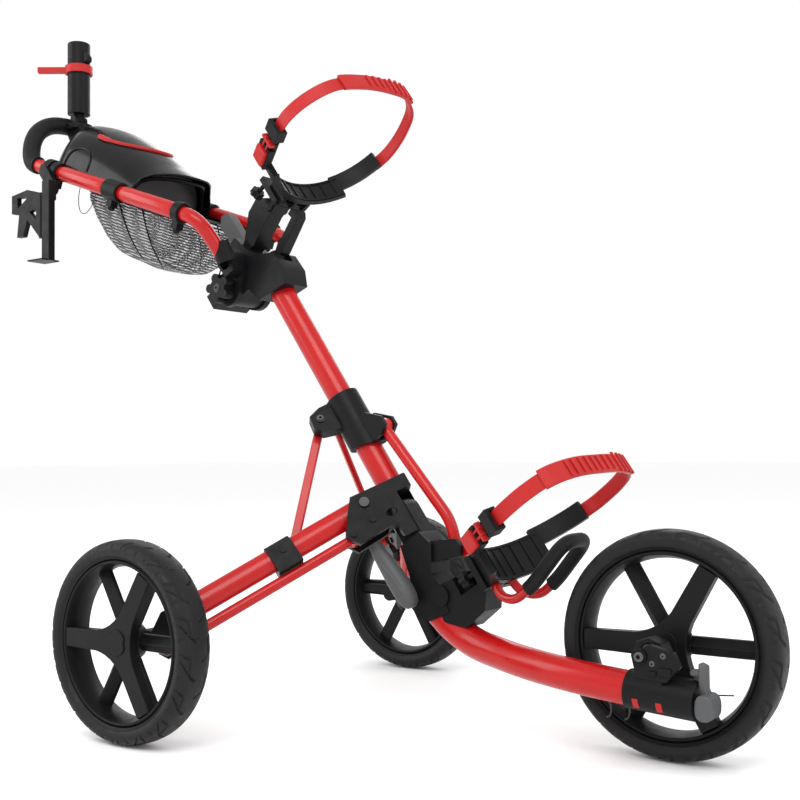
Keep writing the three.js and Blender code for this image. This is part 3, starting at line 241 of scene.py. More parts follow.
def swept(points, section, across=(0, 1, 0), scales=None):
    """A section carried along points. Its first axis is square to the line and to `across`."""
    points = [Vector(p) for p in points]
    made, faces = [], []
    count, last = len(section), len(points) - 1
    for i, point in enumerate(points):
        ahead = (points[min(i + 1, last)] - points[max(i - 1, 0)]).normalized()
        side = Vector(across).cross(ahead).normalized()
        up = ahead.cross(side)
        scale = scales[i] if scales else 1
        made += [point + side * (a * scale) + up * (b * scale) for a, b in section]
    for i in range(last):
        for k in range(count):
            n = (k + 1) % count
            faces.append((i * count + k, i * count + n, (i + 1) * count + n, (i + 1) * count + k))
    faces.append(tuple(reversed(range(count))))
    faces.append(tuple(range(last * count, last * count + count)))
    return made, faces


def bar(a, b, radius, count=32):
    """A round bar from a to b."""
    ahead = (Vector(b) - Vector(a)).normalized()
    across = (0, 1, 0) if abs(ahead.y) < 0.9 else (0, 0, 1)
    return swept([a, b], ring(radius, count=count), across)


def eye(x, z, half_width, radius):
    """A link's round end, as a short bar along y."""
    return bar((x, -half_width, z), (x, half_width, z), radius)


def prism(outline, y0, y1):
    """An outline in x and z, carried from y0 to y1."""
    count = len(outline)
    points = [Vector((x, y, z)) for y in (y0, y1) for x, z in outline]
    faces = [(i, (i + 1) % count, count + (i + 1) % count, count + i) for i in range(count)]
    return points, [*faces, tuple(range(count)), tuple(range(count, 2 * count))]


def block(low, high):
    """A box between two corners."""
    (x0, y0, z0), (x1, y1, z1) = low, high
    return prism([(x0, z0), (x1, z0), (x1, z1), (x0, z1)], y0, y1)


def turned(profile, count=64):
    """A closed outline of (radius, y) turned about the y axis."""
    size = len(profile)
    points, faces = [], []
    for i in range(count):
        angle = 2 * math.pi * i / count
        for radius, y in profile:
            points.append(Vector((radius * math.cos(angle), y, radius * math.sin(angle))))
    for i in range(count):
        for k in range(size):
            a, b = i * size, (i + 1) % count * size
            n = (k + 1) % size
            faces.append((a + k, a + n, b + n, b + k))
    return points, faces


def smooth_line(points, steps=6):
    """A centripetal Catmull-Rom curve through points."""
    points = [Vector(p) for p in points]
    ends = [2 * points[0] - points[1], *points, 2 * points[-1] - points[-2]]
    made = []
    for i in range(len(points) - 1):
        p0, p1, p2, p3 = ends[i : i + 4]
        t1 = (p1 - p0).length ** 0.5
        t2 = t1 + (p2 - p1).length ** 0.5
        t3 = t2 + (p3 - p2).length ** 0.5
        for k in range(steps):
            t = t1 + (t2 - t1) * k / steps
            a1 = p0 * ((t1 - t) / t1) + p1 * (t / t1)
            a2 = p1 * ((t2 - t) / (t2 - t1)) + p2 * ((t - t1) / (t2 - t1))
            a3 = p2 * ((t3 - t) / (t3 - t2)) + p3 * ((t - t2) / (t3 - t2))
            b1 = a1 * ((t2 - t) / t2) + a2 * (t / t2)
            b2 = a2 * ((t3 - t) / (t3 - t1)) + a3 * ((t - t1) / (t3 - t1))
            made.append(b1 * ((t2 - t) / (t2 - t1)) + b2 * ((t - t1) / (t2 - t1)))
    return [*made, points[-1]]


def rounded_line(points, bend, steps=8):
    """Straight stretches with rounded corners."""
    points = [Vector(p) for p in points]
    made = [points[0]]
    for before, corner, after in zip(points, points[1:], points[2:]):
        reach = min(bend, (corner - before).length / 2.05, (after - corner).length / 2.05)
        enter = corner - (corner - before).normalized() * reach
        leave = corner + (after - corner).normalized() * reach
        for k in range(steps + 1):
            t = k / steps
            made.append(enter * (1 - t) ** 2 + corner * (2 * t * (1 - t)) + leave * t * t)
    return [*made, points[-1]]


# ---------- pieces ----------
def as_object(name, part, place):
    """A shape of points and faces as an object, with its faces turned outwards."""
    mesh = bpy.data.meshes.new(name)
    mesh.from_pydata([place @ Vector(p) for p in part[0]], [], part[1])
    shape = bmesh.new()
    shape.from_mesh(mesh)
    bmesh.ops.recalc_face_normals(shape, faces=shape.faces)
    shape.to_mesh(mesh)
    shape.free()
    made = bpy.data.objects.new(name, mesh)
    SCENE.collection.objects.link(made)
    return made


def dress(made, body, slot, bevel=0, angle=32, replaces=(), segments=2):
    """Smooth shading, rounded edges, a material, and the body that the piece rides on."""
    made.data.shade_smooth()
    if bevel:
        rounding = made.modifiers.new("rounding", "BEVEL")
        rounding.width = bevel
        rounding.segments = segments
        rounding.limit_method = "ANGLE"
        rounding.angle_limit = math.radians(angle)
        rounding.harden_normals = True
    else:
        made.data.set_sharp_from_angle(angle=math.radians(angle))
    made.data.materials.clear()
    made.data.materials.append(LOOKS[slot])
    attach(made, body)
    if replaces:
        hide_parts(*replaces)
    return made


def piece(name, part, place, body, slot, **options):
    """A shape drawn in the frame `place`, dressed as a finished piece."""
    return dress(as_object(name, part, place), body, slot, **options)


BODY_OF = {node: body for body, nodes in frame["record"]["behaviour"]["bodies"].items() for node in nodes}
SLOT_OF = {part["node"]: part["material_slot"] for part in frame["record"]["subparts"]}


def rounded_copy(node, bevel):
    """A CAD node's own shape with its edges rounded, standing for the node."""
    mesh = frame["nodes"][node].data.copy()
    shape = bmesh.new()
    shape.from_mesh(mesh)
    bmesh.ops.remove_doubles(shape, verts=shape.verts, dist=2e-6)
    bmesh.ops.dissolve_limit(shape, angle_limit=math.radians(0.8), verts=shape.verts, edges=shape.edges)
    shape.to_mesh(mesh)
    shape.free()
    for attribute in [a.name for a in mesh.attributes if a.name == "custom_normal"]:
        mesh.attributes.remove(mesh.attributes[attribute])
    made = bpy.data.objects.new(f"{node}_form", mesh)
    SCENE.collection.objects.link(made)
    return dress(made, BODY_OF[node], SLOT_OF[node], bevel=bevel, angle=34, replaces=[node])


def carved(name, part, place, steps):
    """A closed part after steps, each a boolean operation and the closed part that it works with."""
    made = as_object(name, part, place)
    tools = [as_object(f"{name}_tool", other, place) for _, other in steps]
    for (operation, _), tool in zip(steps, tools):
        cut = made.modifiers.new("cut", "BOOLEAN")
        cut.operation = operation
        cut.solver = "EXACT"
        cut.object = tool
    bpy.context.view_layer.update()
    ready = made.evaluated_get(bpy.context.evaluated_depsgraph_get())
    mesh = bpy.data.meshes.new_from_object(ready)
    made.modifiers.clear()
    made.data = mesh
    for tool in tools:
        bpy.data.objects.remove(tool)
    return made


# ---------- tubes ----------
MAST_FOOT, MAST_TOP = -21, 427
MAST_HALF_DEPTH, MAST_HALF_WIDTH = 21.5, 19
piece(
    "mast", swept([(0, 0, MAST_FOOT), (0, 0, MAST_TOP)], ring(MAST_HALF_DEPTH, MAST_HALF_WIDTH, 56)),
    MAST, "frame", "red_paint", replaces=["mast_tube"],
)

BOOM_RADIUS = 23
BOOM_POINTS = [
    (306, 0, 168), (330, -2, 149), (372, -10, 130), (422, -24, 121), (480, -43, 115),
    (535, -57, 111), (590, -65, 107), (645, -68, 103), (736, -68, 97),
]
piece(
    "boom", swept(smooth_line(BOOM_POINTS), ring(BOOM_RADIUS, count=48)), TROLLEY, "boom", "red_paint",
    replaces=["boom_tube"],
)

PUSH_ROD_RADIUS = 9
PUSH_ROD_EYE, PUSH_ROD_SLOT_EYE = 12.5, 12
push_rod_line = rounded_line([(43, 0, 84), (64, 0, -108), (52.5, 0, -143)], 26)
push_rod_eyes = [
    eye(43, 84, 9.5, PUSH_ROD_EYE),
    eye(51, -150, 6, PUSH_ROD_SLOT_EYE),
    eye(62.4, -157.7, 6, PUSH_ROD_SLOT_EYE),
]
piece(
    "push_rod_tube", merged(swept(push_rod_line, ring(PUSH_ROD_RADIUS)), *push_rod_eyes),
    MAST, "push_rod", "red_paint", replaces=["front_rod"],
)

STRUT_PLANE, STRUT_TOP, STRUT_FOOT = -23.5, (50, 147), (182, -25)
STRUT_RADIUS, STRUT_HALF_FLAT, STRUT_EYE = 7.5, 4.8, 11.5
LEG_HALF_HEIGHT, LEG_HALF_WIDTH, LEG_EYE, LEG_TONGUE = 18.5, 13, 11, 30
ROD_RADIUS, ROD_TOP_EYE, ROD_FOOT_EYE, ROD_TONGUE = 8.3, 10.5, 9, 36
TONGUE_HALF_WIDTH = 5


def strut():
    """A flattened round rod with an eye at each end."""
    ends = [(x, STRUT_PLANE, z) for x, z in (STRUT_TOP, STRUT_FOOT)]
    flat_round = [
        (x, max(-STRUT_HALF_FLAT, min(STRUT_HALF_FLAT, y))) for x, y in ring(STRUT_RADIUS, count=28)
    ]
    low, high = STRUT_PLANE - STRUT_HALF_FLAT, STRUT_PLANE + STRUT_HALF_FLAT
    eyes = [bar((x, low, z), (x, high, z), STRUT_EYE) for x, _, z in ends]
    return merged(swept(ends, flat_round), *eyes)


def leg():
    """An oval tube with a round top end and a flat tongue at its foot."""
    tongue_from, half = LEG_LENGTH - LEG_TONGUE, TONGUE_HALF_WIDTH
    return merged(
        swept([(10, 0, 0), (LEG_LENGTH - 20, 0, 0)], ring(LEG_HALF_HEIGHT, LEG_HALF_WIDTH, 48)),
        eye(0, 0, LEG_HALF_WIDTH - 0.4, LEG_HALF_HEIGHT),
        block((tongue_from, -half, -LEG_EYE), (LEG_LENGTH, half, LEG_EYE)),
        eye(LEG_LENGTH, 0, half, LEG_EYE),
    )


def lower_rod():
    """A round rod with an eye at its top and a flat tongue at its foot."""
    tongue_from, half = LEG_LENGTH - ROD_TONGUE, TONGUE_HALF_WIDTH
    return merged(
        bar((0, 0, 0), (LEG_LENGTH - 30, 0, 0), ROD_RADIUS),
        eye(0, 0, ROD_RADIUS, ROD_TOP_EYE),
        block((tongue_from, -half, -8), (LEG_LENGTH, half, 8)),
        eye(LEG_LENGTH, 0, half, ROD_FOOT_EYE),
    )


for side in SIDES:
    piece(
        f"{side}_strut_rod", strut(), leg_frame(side), f"{side}_strut_link", "red_paint",
        replaces=[f"{side}_strut"], bevel=0.0008,
    )
    piece(
        f"{side}_leg_oval", leg(), along_leg(side, LEG_PIVOT), f"{side}_leg", "red_paint",
        replaces=[f"{side}_leg_tube"],
    )
    piece(
        f"{side}_lower_rod_tube", lower_rod(), along_leg(side, ROD_PIVOT), f"{side}_rod_link", "red_paint",
        replaces=[f"{side}_lower_rod"],
    )

TUBE_END, TUBE_Y, TUBE_RADIUS, GRIP_RADIUS = -437, 115, 12.5, 16.5
for side, sign in SIDES.items():
    y = -sign * TUBE_Y
    line = rounded_line([(42, 0.62 * y, -48), (14, y, 0), (TUBE_END, y, 0)], 34)
    piece(
        f"{side}_handle_bar", swept(line, ring(TUBE_RADIUS)), HANDLE, "handle", "red_paint",
        replaces=[f"{side}_handle_tube"],
    )
GRIP_HALF = [
    (TUBE_END - 0.8, 0, 0), (-446, 0, 0), (-457, 0, 3), (-471, 3, 15), (-486, 11, 38), (-502, 31, 60),
    (-514, 65, 77),
]
right_half = [(x, inset - TUBE_Y, z) for x, inset, z in GRIP_HALF]
grip_line = [*right_half, (-518, 0, 83), *[(x, -y, z) for x, y, z in reversed(right_half)]]
piece(
    "foam_grip", swept(smooth_line(grip_line), ring(GRIP_RADIUS)), HANDLE, "handle", "foam",
    replaces=["handle_grip"],
)

U_BAR_RADIUS, U_BAR_FOAM_RADIUS, U_BAR_FOAM_START = 7, 10.5, 138
U_BAR_HALF = [(90, 18, -214), (91, 30, -256), (112, 36, -274), (150, 36, -270), (226, 36, -247)]
U_BAR_ACROSS = (-0.25, 0, 1)
u_bar_line = rounded_line([*[(x, -y, z) for x, y, z in U_BAR_HALF], *reversed(U_BAR_HALF)], 26)
piece(
    "u_bar_rod", swept(u_bar_line, ring(U_BAR_RADIUS, count=24), U_BAR_ACROSS), MAST, "boom", "red_paint",
    replaces=["u_bar"],
)
foam_line = [
    Vector((U_BAR_FOAM_START, -36, -270.8)), *[p for p in u_bar_line if p.x > U_BAR_FOAM_START],
    Vector((U_BAR_FOAM_START, 36, -270.8)),
]
piece(
    "u_bar_foam", swept(foam_line, ring(U_BAR_FOAM_RADIUS, count=28), U_BAR_ACROSS), MAST, "boom", "foam",
    replaces=["u_bar_grip"],
)


# ---------- wheels ----------
TYRE_DEPTH, TYRE_HALF_WIDTH, TREAD_HALF_WIDTH = 27, 28, 26
# Depth below the crown, and distance from the middle plane.
TYRE_HALF_SECTION = [(TYRE_DEPTH, 22), (23, 25.5), (15, TYRE_HALF_WIDTH), (8, 26), (3.2, 20), (0.8, 12)]
GROOVE_DEPTH, TREAD_PITCHES = 2.2, 17


def in_groove(turn, reach):
    """Whether a point is in a groove, from its share of a pitch and its distance from the middle."""
    long_groove = abs(turn - (0.2 + 0.5 * reach ** 2)) < 0.035 and 0.12 < reach
    along_rim = abs(reach - 0.62) < 0.035 and 0.4 < turn < 0.8
    side_groove = abs(turn - 0.8 - 0.3 * (reach - 0.62)) < 0.032 and 0.62 < reach
    notch = reach > 0.9 and abs(turn - 0.3) < 0.06
    return long_groove or along_rim or side_groove or notch


def tyre(radius):
    """A rounded tyre with waves of shallow grooves in its tread."""
    lower = [(radius - depth, -y, 0) for depth, y in TYRE_HALF_SECTION]
    upper = [(x, -y, 0) for x, y, _ in reversed(lower)]
    profile = [(p.x, p.y) for p in smooth_line([*lower, (radius, 0, 0), *upper], 5)]
    count = 640
    points, faces = turned(profile, count)
    for i in range(count):
        for k, (r, y) in enumerate(profile):
            reach = abs(y) / TREAD_HALF_WIDTH
            turn = (i / count * TREAD_PITCHES + (0.5 if y > 0 else 0)) % 1
            if r >= radius - 12 and reach > 0.06 and in_groove(turn, reach):
                point = points[i * len(profile) + k]
                point.x *= 1 - GROOVE_DEPTH / r
                point.z *= 1 - GROOVE_DEPTH / r
    return points, faces


def spoke_star(inner, half_hub, half_end, outer, flare):
    """The outline of three broad spokes joined by fillets, at 180, 60 and -60 degrees."""
    outline = []
    for k in range(3):
        angle = math.pi - k * 2 * math.pi / 3
        ahead = Vector((math.cos(angle), math.sin(angle)))
        aside = Vector((math.sin(angle), -math.cos(angle)))
        left = ahead * inner - aside * half_hub
        right = ahead * inner + aside * half_hub
        outline += [left, ahead * outer - aside * half_end, ahead * outer + aside * half_end, right]
        following = angle - 2 * math.pi / 3
        next_ahead = Vector((math.cos(following), math.sin(following)))
        next_aside = Vector((math.sin(following), -math.cos(following)))
        next_left = next_ahead * inner - next_aside * half_hub
        corner = (right + next_left) * flare
        for step in range(1, 6):
            t = step / 6
            outline.append(right * (1 - t) ** 2 + corner * (2 * t * (1 - t)) + next_left * t * t)
    return [(p.x, p.y) for p in outline]


RIM_HALF_SECTION = [(0, 20), (3, 23.5), (6, 23), (10, 12)]
HUB_SECTION = [(6.5, 21), (22, 21), (27, 14), (30, 0), (30, -8), (6.5, -8)]
DISHED_SPOKE = [(-13, 8), (-12, 3), (0, -8), (12, 3), (13, 8)]
SQUARE_SPOKE = [(-8, -6), (8, -6), (8, 6), (-8, 6)]


def rim_parts(radius):
    """A barrel, a star of three broad spokes, a hub, and three dished and three square spokes behind."""
    seat = radius - TYRE_DEPTH - 0.4
    near = [(seat - depth, -y) for depth, y in RIM_HALF_SECTION]
    barrel = turned([*near, (seat - 12, 0), *[(r, -y) for r, y in reversed(near)]], 128)
    star = prism(spoke_star(44, 15, 13.5, seat - 8, 0.32), -22.5, -6)
    inner_spokes = []
    for k in range(3):
        angle = k * 2 * math.pi / 3
        ahead = Vector((math.cos(angle), 0, math.sin(angle)))
        inner_spokes.append(swept([ahead * 18, ahead * (seat - 7)], DISHED_SPOKE))
        inner_spokes.append(swept([-ahead * 18, -ahead * (seat - 9)], SQUARE_SPOKE))
    return [barrel, star, turned(HUB_SECTION, 48), *inner_spokes]


def hub_cap():
    """A round cap with three notches."""
    outline = []
    for degrees in range(0, 360, 20):
        reach = 19 if degrees % 120 else 16
        angle = math.radians(degrees)
        outline.append((reach * math.cos(angle), reach * math.sin(angle)))
    return prism(outline, -24.4, -20)


def add_wheel(name, radius, centre, mirror, body, tyre_node, rim_node):
    """A wheel's four pieces, with the spokes' face at -y, or at y where `mirror` is -1."""
    place = TROLLEY @ Matrix.Translation(centre) @ Matrix.Diagonal((1, mirror, 1, 1))
    lip = radius - TYRE_DEPTH
    bead = turned([(lip + 1.5, -23.4), (lip + 4, -26.2), (lip + 6, -24)], 128)
    piece(f"{name}_tread", tyre(radius), place, body, "tyre_rubber", angle=40, replaces=[tyre_node])
    piece(
        f"{name}_spokes", merged(*rim_parts(radius)), place, body, "black_plastic", bevel=0.0014, angle=30,
        replaces=[rim_node],
    )
    piece(f"{name}_hub_cap", hub_cap(), place, body, "black_plastic", bevel=0.0012)
    piece(f"{name}_bead", bead, place, body, "tyre_rubber", angle=60)


WHEELBASE, HALF_TRACK, FRONT_RADIUS, REAR_RADIUS = 677, 353, 154, 146
add_wheel("front", FRONT_RADIUS, (WHEELBASE, 0, FRONT_RADIUS), 1, "front_wheel", "front_tyre", "front_rim")
for side, sign in SIDES.items():
    add_wheel(
        side, REAR_RADIUS, (0, -HALF_TRACK * sign, REAR_RADIUS), sign, f"{side}_wheel",
        f"{side}_rear_tyre", f"{side}_rear_rim",
    )

# ---------- castings and brackets, with their edges rounded ----------
# The width of the rounded edges in metres, and the nodes that get them.
ROUNDED_NODES = {
    0.0026: ["hub_block", "boom_casting", "collar_sleeve", "upper_bracket", "handle_head"],
    0.0012: [
        "fold_lever", "release_catch", "axle_bracket", "cup_spine", "cup_wing", "cup_clamp",
        "umbrella_socket", "umbrella_clamp", "height_knob", "lower_saddle", "upper_saddle",
        "lower_buckle", "upper_buckle", "lower_knob", "upper_knob", "right_leg_clamp", "left_leg_clamp",
        "right_axle_carrier", "left_axle_carrier",
    ],
    0.0006: ["fold_hinge_bolt", "right_leg_bolt", "left_leg_bolt", "handle_pin", "front_axle"],
}
for edge, nodes in ROUNDED_NODES.items():
    for node in nodes:
        rounded_copy(node, edge)


def screw(name, at, ahead, radius, height, place, body, slot="steel"):
    """A screw's head on its washer, with a round socket."""
    turn = Vector((0, 1, 0)).rotation_difference(Vector(ahead)).to_matrix().to_4x4()
    socket_floor, washer = -height * 0.2, radius * 1.25
    profile = [
        (radius * 0.42, socket_floor), (radius * 0.46, height), (radius * 0.85, height),
        (radius, height * 0.6), (radius, 0), (washer, 0), (washer, -1), (radius * 0.2, -1),
        (radius * 0.2, socket_floor),
    ]
    place = place @ Matrix.Translation(at) @ turn
    return piece(name, turned(profile, 36), place, body, slot, bevel=0.0003, angle=25)


# ---------- nose ----------
NOSE_Y, SLEEVE_RADIUS, PLATE_FACE = -68, 26, -92
NOSE_PLATE = [(662, 122), (706, 119), (724, 140), (716, 158), (684, 166), (664, 156)]
nose_parts = [
    swept([(646, NOSE_Y, 103), (740, NOSE_Y, 96.8)], ring(SLEEVE_RADIUS, count=56)),
    prism(NOSE_PLATE, PLATE_FACE, -79),
    bar((672, -96, 150), (672, -79, 150), 9.5),
    block((656, -90, 112), (700, -60, 128)),
    block((697, -95, 128), (714, -90, 138)),
    block((684, -94.5, 126), (694, -90, 133)),
]
piece(
    "nose_shell", merged(*nose_parts), TROLLEY, "boom", "black_plastic", bevel=0.0012,
    replaces=["nose_sleeve"],
)
pad = [(753 + 12 * squared(c, 0.8), 92 + 16.5 * squared(t, 0.8)) for c, t in ring(1)]
stem = [(742, 146), (752, 142), (752, 114), (757, 100), (747, 98), (742, 116)]
paddle = merged(prism(pad, -90, -54), prism(stem, -76, -58), block((730, -74, 128), (748, -58, 136)))
piece(
    "nose_paddle", paddle, TROLLEY, "nose_clip", "grey_plastic", bevel=0.0028, replaces=["nose_lever"],
)
piece("nose_pin", bar((758, -54, 104), (780, -54, 106), 1, 10), TROLLEY, "nose_clip", "steel")
for index, x in enumerate((617, 643)):
    hook = smooth_line([(x - 3, -64, 84), (x, -62, 72), (x - 3, -60, 62), (x - 8, -60, 59)], 5)
    piece(f"boom_hook_{index}", swept(hook, ring(1.3, count=10)), TROLLEY, "boom", "steel")

# ---------- latch lever ----------
LATCH_SPINE = [
    (-52, -80), (-50, -90), (-47, -110), (-44.5, -138), (-43, -162), (-42.5, -178), (-43, -188), (-44, -193),
]
LATCH_SCALES = [0.5, 0.74, 0.94, 1.1, 1.14, 1.08, 0.86, 0.46]
latch_section = [(14 * squared(c, 0.75), 13 * squared(t, 0.75)) for c, t in ring(1)]
latch_parts = [
    swept([(x, -45, z) for x, z in LATCH_SPINE], latch_section, (0, 1, 0), LATCH_SCALES),
    swept([(-47, -57.2, -112), (-40, -58.4, -142), (-37, -57.6, -172)], ring(2.2, count=12)),
    block((-58, -52, -92), (-40, -38, -78)),
]
piece(
    "latch_paddle", merged(*latch_parts), MAST, "latch", "grey_plastic", angle=50, replaces=["latch_lever"],
)

# ---------- screws, and the red windows in the nose sleeve ----------
OUTWARDS = (0, -1, 0)
screw("nose_bolt", (672, -96, 150), OUTWARDS, 6.5, 3, TROLLEY, "boom", "grey_plastic")
screw("nose_screw_a", (703, -92.2, 153), OUTWARDS, 3.2, 2, TROLLEY, "boom", "grey_plastic")
screw("nose_screw_b", (688, -92.2, 142), OUTWARDS, 3.2, 2, TROLLEY, "boom", "grey_plastic")
WINDOW_SECTION = [(-0.7, -4), (0.7, -4), (0.7, 4), (-0.7, 4)]
for index, x in enumerate((664, 696)):
    reach = SLEEVE_RADIUS + 0.2
    centre_z = 103 - (x - 646) * 0.066
    turns = [math.radians(14 + 4 * k) for k in range(9)]
    window = [(x, NOSE_Y - reach * math.cos(a), centre_z - reach * math.sin(a)) for a in turns]
    piece(
        f"sleeve_window_{index}", swept(window, WINDOW_SECTION, (1, 0, 0)), TROLLEY, "boom", "red_rubber",
        bevel=0.0004,
    )
for side in SIDES:
    screw(f"{side}_collar_screw", (50, 12.2, 147), (0, 1, 0), 5, 2.5, leg_frame(side), "collar")
screw("height_knob_screw", (-70, -66.5, 453), OUTWARDS, 6, 1.5, MAST, "height_lock")


# ---------- straps ----------
BAND = [(-2.2, -11.5), (0.6, -11.5), (2.2, -9.5), (2.2, 9.5), (0.6, 11.5), (-2.2, 11.5)]
# Each strap's body, its height on the mast, the share of its line that the pull tab covers, and its route.
STRAPS = {
    "lower": (
        "boom", -188, (0.235, 0.56),
        [(188, -128), (230, -142), (270, -147), (302, -138), (322, -100), (329, -40), (328, 30), (312, 88),
         (280, 118), (248, 132), (222, 138), (206, 137), (192, 134.5)],
    ),
    "upper": (
        "upper_cradle", 530, (0.27, 0.53),
        [(208, -124), (248, -132), (290, -122), (326, -96), (346, -50), (356, 5), (356, 58), (334, 100),
         (300, 122), (268, 134), (242, 138.5), (226, 137.5), (212, 135)],
    ),
}
TAB_SECTION = [(1, -13), (-5, -15), (-7, -13), (-7, 13), (-5, 15), (1, 13)]


def tab_ribs(line):
    """Ribs across the pull tab, on every second point from the eighth, and wider near its end."""
    ribs = []
    for i in range(8, len(line) - 1, 2):
        ahead = (line[i + 1] - line[i - 1]).normalized() * 2.2
        width = 13 if i < len(line) - 9 else 17
        rib = [(-6, -width), (-9.5, -width + 1.5), (-9.5, width - 1.5), (-6, width)]
        ribs.append(swept([line[i] - ahead, line[i] + ahead], rib, (0, 0, 1)))
    return ribs


for level, (body, height, (tab_from, tab_to), route) in STRAPS.items():
    line = smooth_line([(x, y, height) for x, y in route], 8)
    tab_line = line[int(len(line) * tab_from) : int(len(line) * tab_to)]
    tab = merged(swept(tab_line, TAB_SECTION, (0, 0, 1)), *tab_ribs(tab_line))
    piece(
        f"{level}_strap_band", swept(line, BAND, (0, 0, 1)), MAST, body, "red_rubber", bevel=0.0006,
        replaces=[f"{level}_strap"],
    )
    piece(f"{level}_strap_tab", tab, MAST, body, "red_rubber", bevel=0.0009)

# The ends of each clasp in MAST's x and y, its height, its body and its button's body.
CLASPS = {
    "lower": ((132, -98), (206, -138), -188, "boom", "lower_release"),
    "upper": ((152, -98), (226, -132), 530, "upper_cradle", "upper_release"),
}
for level, (start, end, height, body, button_body) in CLASPS.items():
    half = math.dist(start, end) / 2
    middle = ((start[0] + end[0]) / 2, (start[1] + end[1]) / 2, height)
    turn = Matrix.Rotation(math.atan2(end[1] - start[1], end[0] - start[0]), 4, "Z")
    place = MAST @ Matrix.Translation(middle) @ turn
    button = block((4.5 - half, -18, -13.4), (33.5 - half, -8.4, 13.4))
    piece(
        f"{level}_button_pad", button, place, button_body, "red_rubber", bevel=0.0026, segments=3,
        replaces=[f"{level}_button"],
    )
    prongs = [
        block((34.2 - half, -12.5, -7), (54 - half, -4, -3.4)),
        block((34.2 - half, -12.5, 3.4), (54 - half, -4, 7)),
        block((47 - half, -13.2, -14.5), (52 - half, -4, 14.5)),
    ]
    piece(f"{level}_clasp_prongs", merged(*prongs), place, body, "red_rubber", bevel=0.0008)

# ---------- ribs inside the bag saddles ----------
# The bag's axis along MAST's x, the saddle's height and how tall it is, and its body.
SADDLES = {"lower": (222, -208, 54, "boom"), "upper": (242, 519, 38, "upper_cradle")}
SADDLE_RIM = 121.4
for level, (bag, height, tall, body) in SADDLES.items():
    ribs = []
    for step in range(-4, 5):
        turn = Matrix.Translation((bag, 0, height)) @ Matrix.Rotation(math.radians(step * 10), 4, "Z")
        ribs.append(moved(block((-122.6, -1.4, 3 - tall / 2), (-120, 1.4, tall / 2 - 3)), turn))
    angles = [math.radians(3 * k) for k in range(-15, 16)]
    for z in (2 - tall / 2, tall / 2 - 2):
        rim = [(bag - SADDLE_RIM * math.cos(a), -SADDLE_RIM * math.sin(a), height + z) for a in angles]
        ribs.append(swept(rim, [(-1.2, -1.6), (1.6, -1.6), (1.6, 1.6), (-1.2, 1.6)], (0, 0, 1)))
    piece(f"{level}_saddle_ribs", merged(*ribs), MAST, body, "black_plastic", bevel=0.0004)

# ---------- console ----------
# The console's outside: its ends and half widths, the powers that square its arches off, and the height of
# its crest.
REAR, SHOULDER, FRONT = -460, -376, -106
HALF_WIDTH, REAR_HALF_WIDTH, WALL = 100.5, 104, 3
DOME_FOOT, ARCH_POWER, FLANK_POWER = -14, 0.86, 0.94
RIDGE = [
    (REAR, 70), (-457, 84), (-450, 93), (-436, 99.5), (-420, 103), (-380, 106), (-345, 104.5), (-310, 100),
    (-272, 92.5), (-236, 84), (-186, 69), (-126, 58), (FRONT, 50),
]


def ridge_height(x):
    """The crest's height at x."""
    for (x0, z0), (x1, z1) in zip(RIDGE, RIDGE[1:]):
        if x <= x1:
            return z0 + (z1 - z0) * (x - x0) / (x1 - x0)
    return RIDGE[-1][1]


def dome(shrink, floor, rings=44, arc=40):
    """The console's closed outer form, shrunk inwards: a row of arches from the rear to the front."""
    points, faces = [], []
    rear, front = REAR + shrink, FRONT if shrink == 0 else FRONT + 6
    for i in range(rings + 1):
        x = rear + (front - rear) * (i / rings) ** 1.35
        x = min(max(x, rear + 0.3), front)
        half = HALF_WIDTH - shrink
        if x < SHOULDER:
            share = (x - SHOULDER) / (SHOULDER - REAR - shrink)
            half = min(half, (REAR_HALF_WIDTH - shrink) * math.sqrt(max(0.0, 1 - share ** 2)))
        half = max(half, 9)
        top = ridge_height(x) - shrink
        for k in range(arc + 1):
            angle = math.pi * k / arc
            across, swell = squared(math.cos(angle), FLANK_POWER), abs(math.sin(angle)) ** ARCH_POWER
            points.append(Vector((x, half * across, floor + (top - floor) * swell)))
    size = arc + 1
    for i in range(rings):
        for k in range(arc):
            a = i * size + k
            faces.append((a, a + 1, a + size + 1, a + size))
        faces.append((i * size, i * size + size, i * size + 2 * size - 1, i * size + arc))
    faces.append(tuple(range(size)))
    faces.append(tuple(range(rings * size, rings * size + size)))
    return points, faces


LID_BACK, LID_MIDDLE, LID_REACH, LID_HALF_WIDTH = -426, -330, 94, 66


def lid_plan(grow):
    """A prism over the lid's tongue, which is straight at the back and rounded at the front."""
    back, half = LID_BACK - grow, LID_HALF_WIDTH + grow
    rim = [(back, half)]
    for i in range(25):
        angle = math.pi / 2 - math.pi * i / 24
        rim.append((LID_MIDDLE + (LID_REACH + grow) * math.cos(angle), half * math.sin(angle)))
    rim.append((back, -half))
    count = len(rim)
    points = [Vector((x, y, z)) for z in (60, 200) for x, y in rim]
    faces = [(i, (i + 1) % count, count + (i + 1) % count, count + i) for i in range(count)]
    return points, [*faces, tuple(range(count)), tuple(range(count, 2 * count))]


MOUTH = [(-190, -9), (-187, 14), (-183, 34), (-170, 47), (-150, 55.5), (-131, 62.5), (-100, 80)]
mouth = prism([*MOUTH, (-60, -60), (-140, -9)], -130, 130)
outside, inside = dome(0, DOME_FOOT), dome(WALL, DOME_FOOT + 4)
shell_steps = [("DIFFERENCE", part) for part in (inside, mouth, lid_plan(0.5))]
lid_steps = [("DIFFERENCE", inside), ("INTERSECT", lid_plan(-0.2))]
shell = carved("console_dome", outside, HANDLE, shell_steps)
dress(shell, "handle", "gloss_black", bevel=0.0009, angle=40, replaces=["console_shell"])
lid = carved("console_lid_panel", outside, HANDLE, lid_steps)
dress(lid, "lid", "gloss_black", bevel=0.0008, angle=40, replaces=["console_lid"])


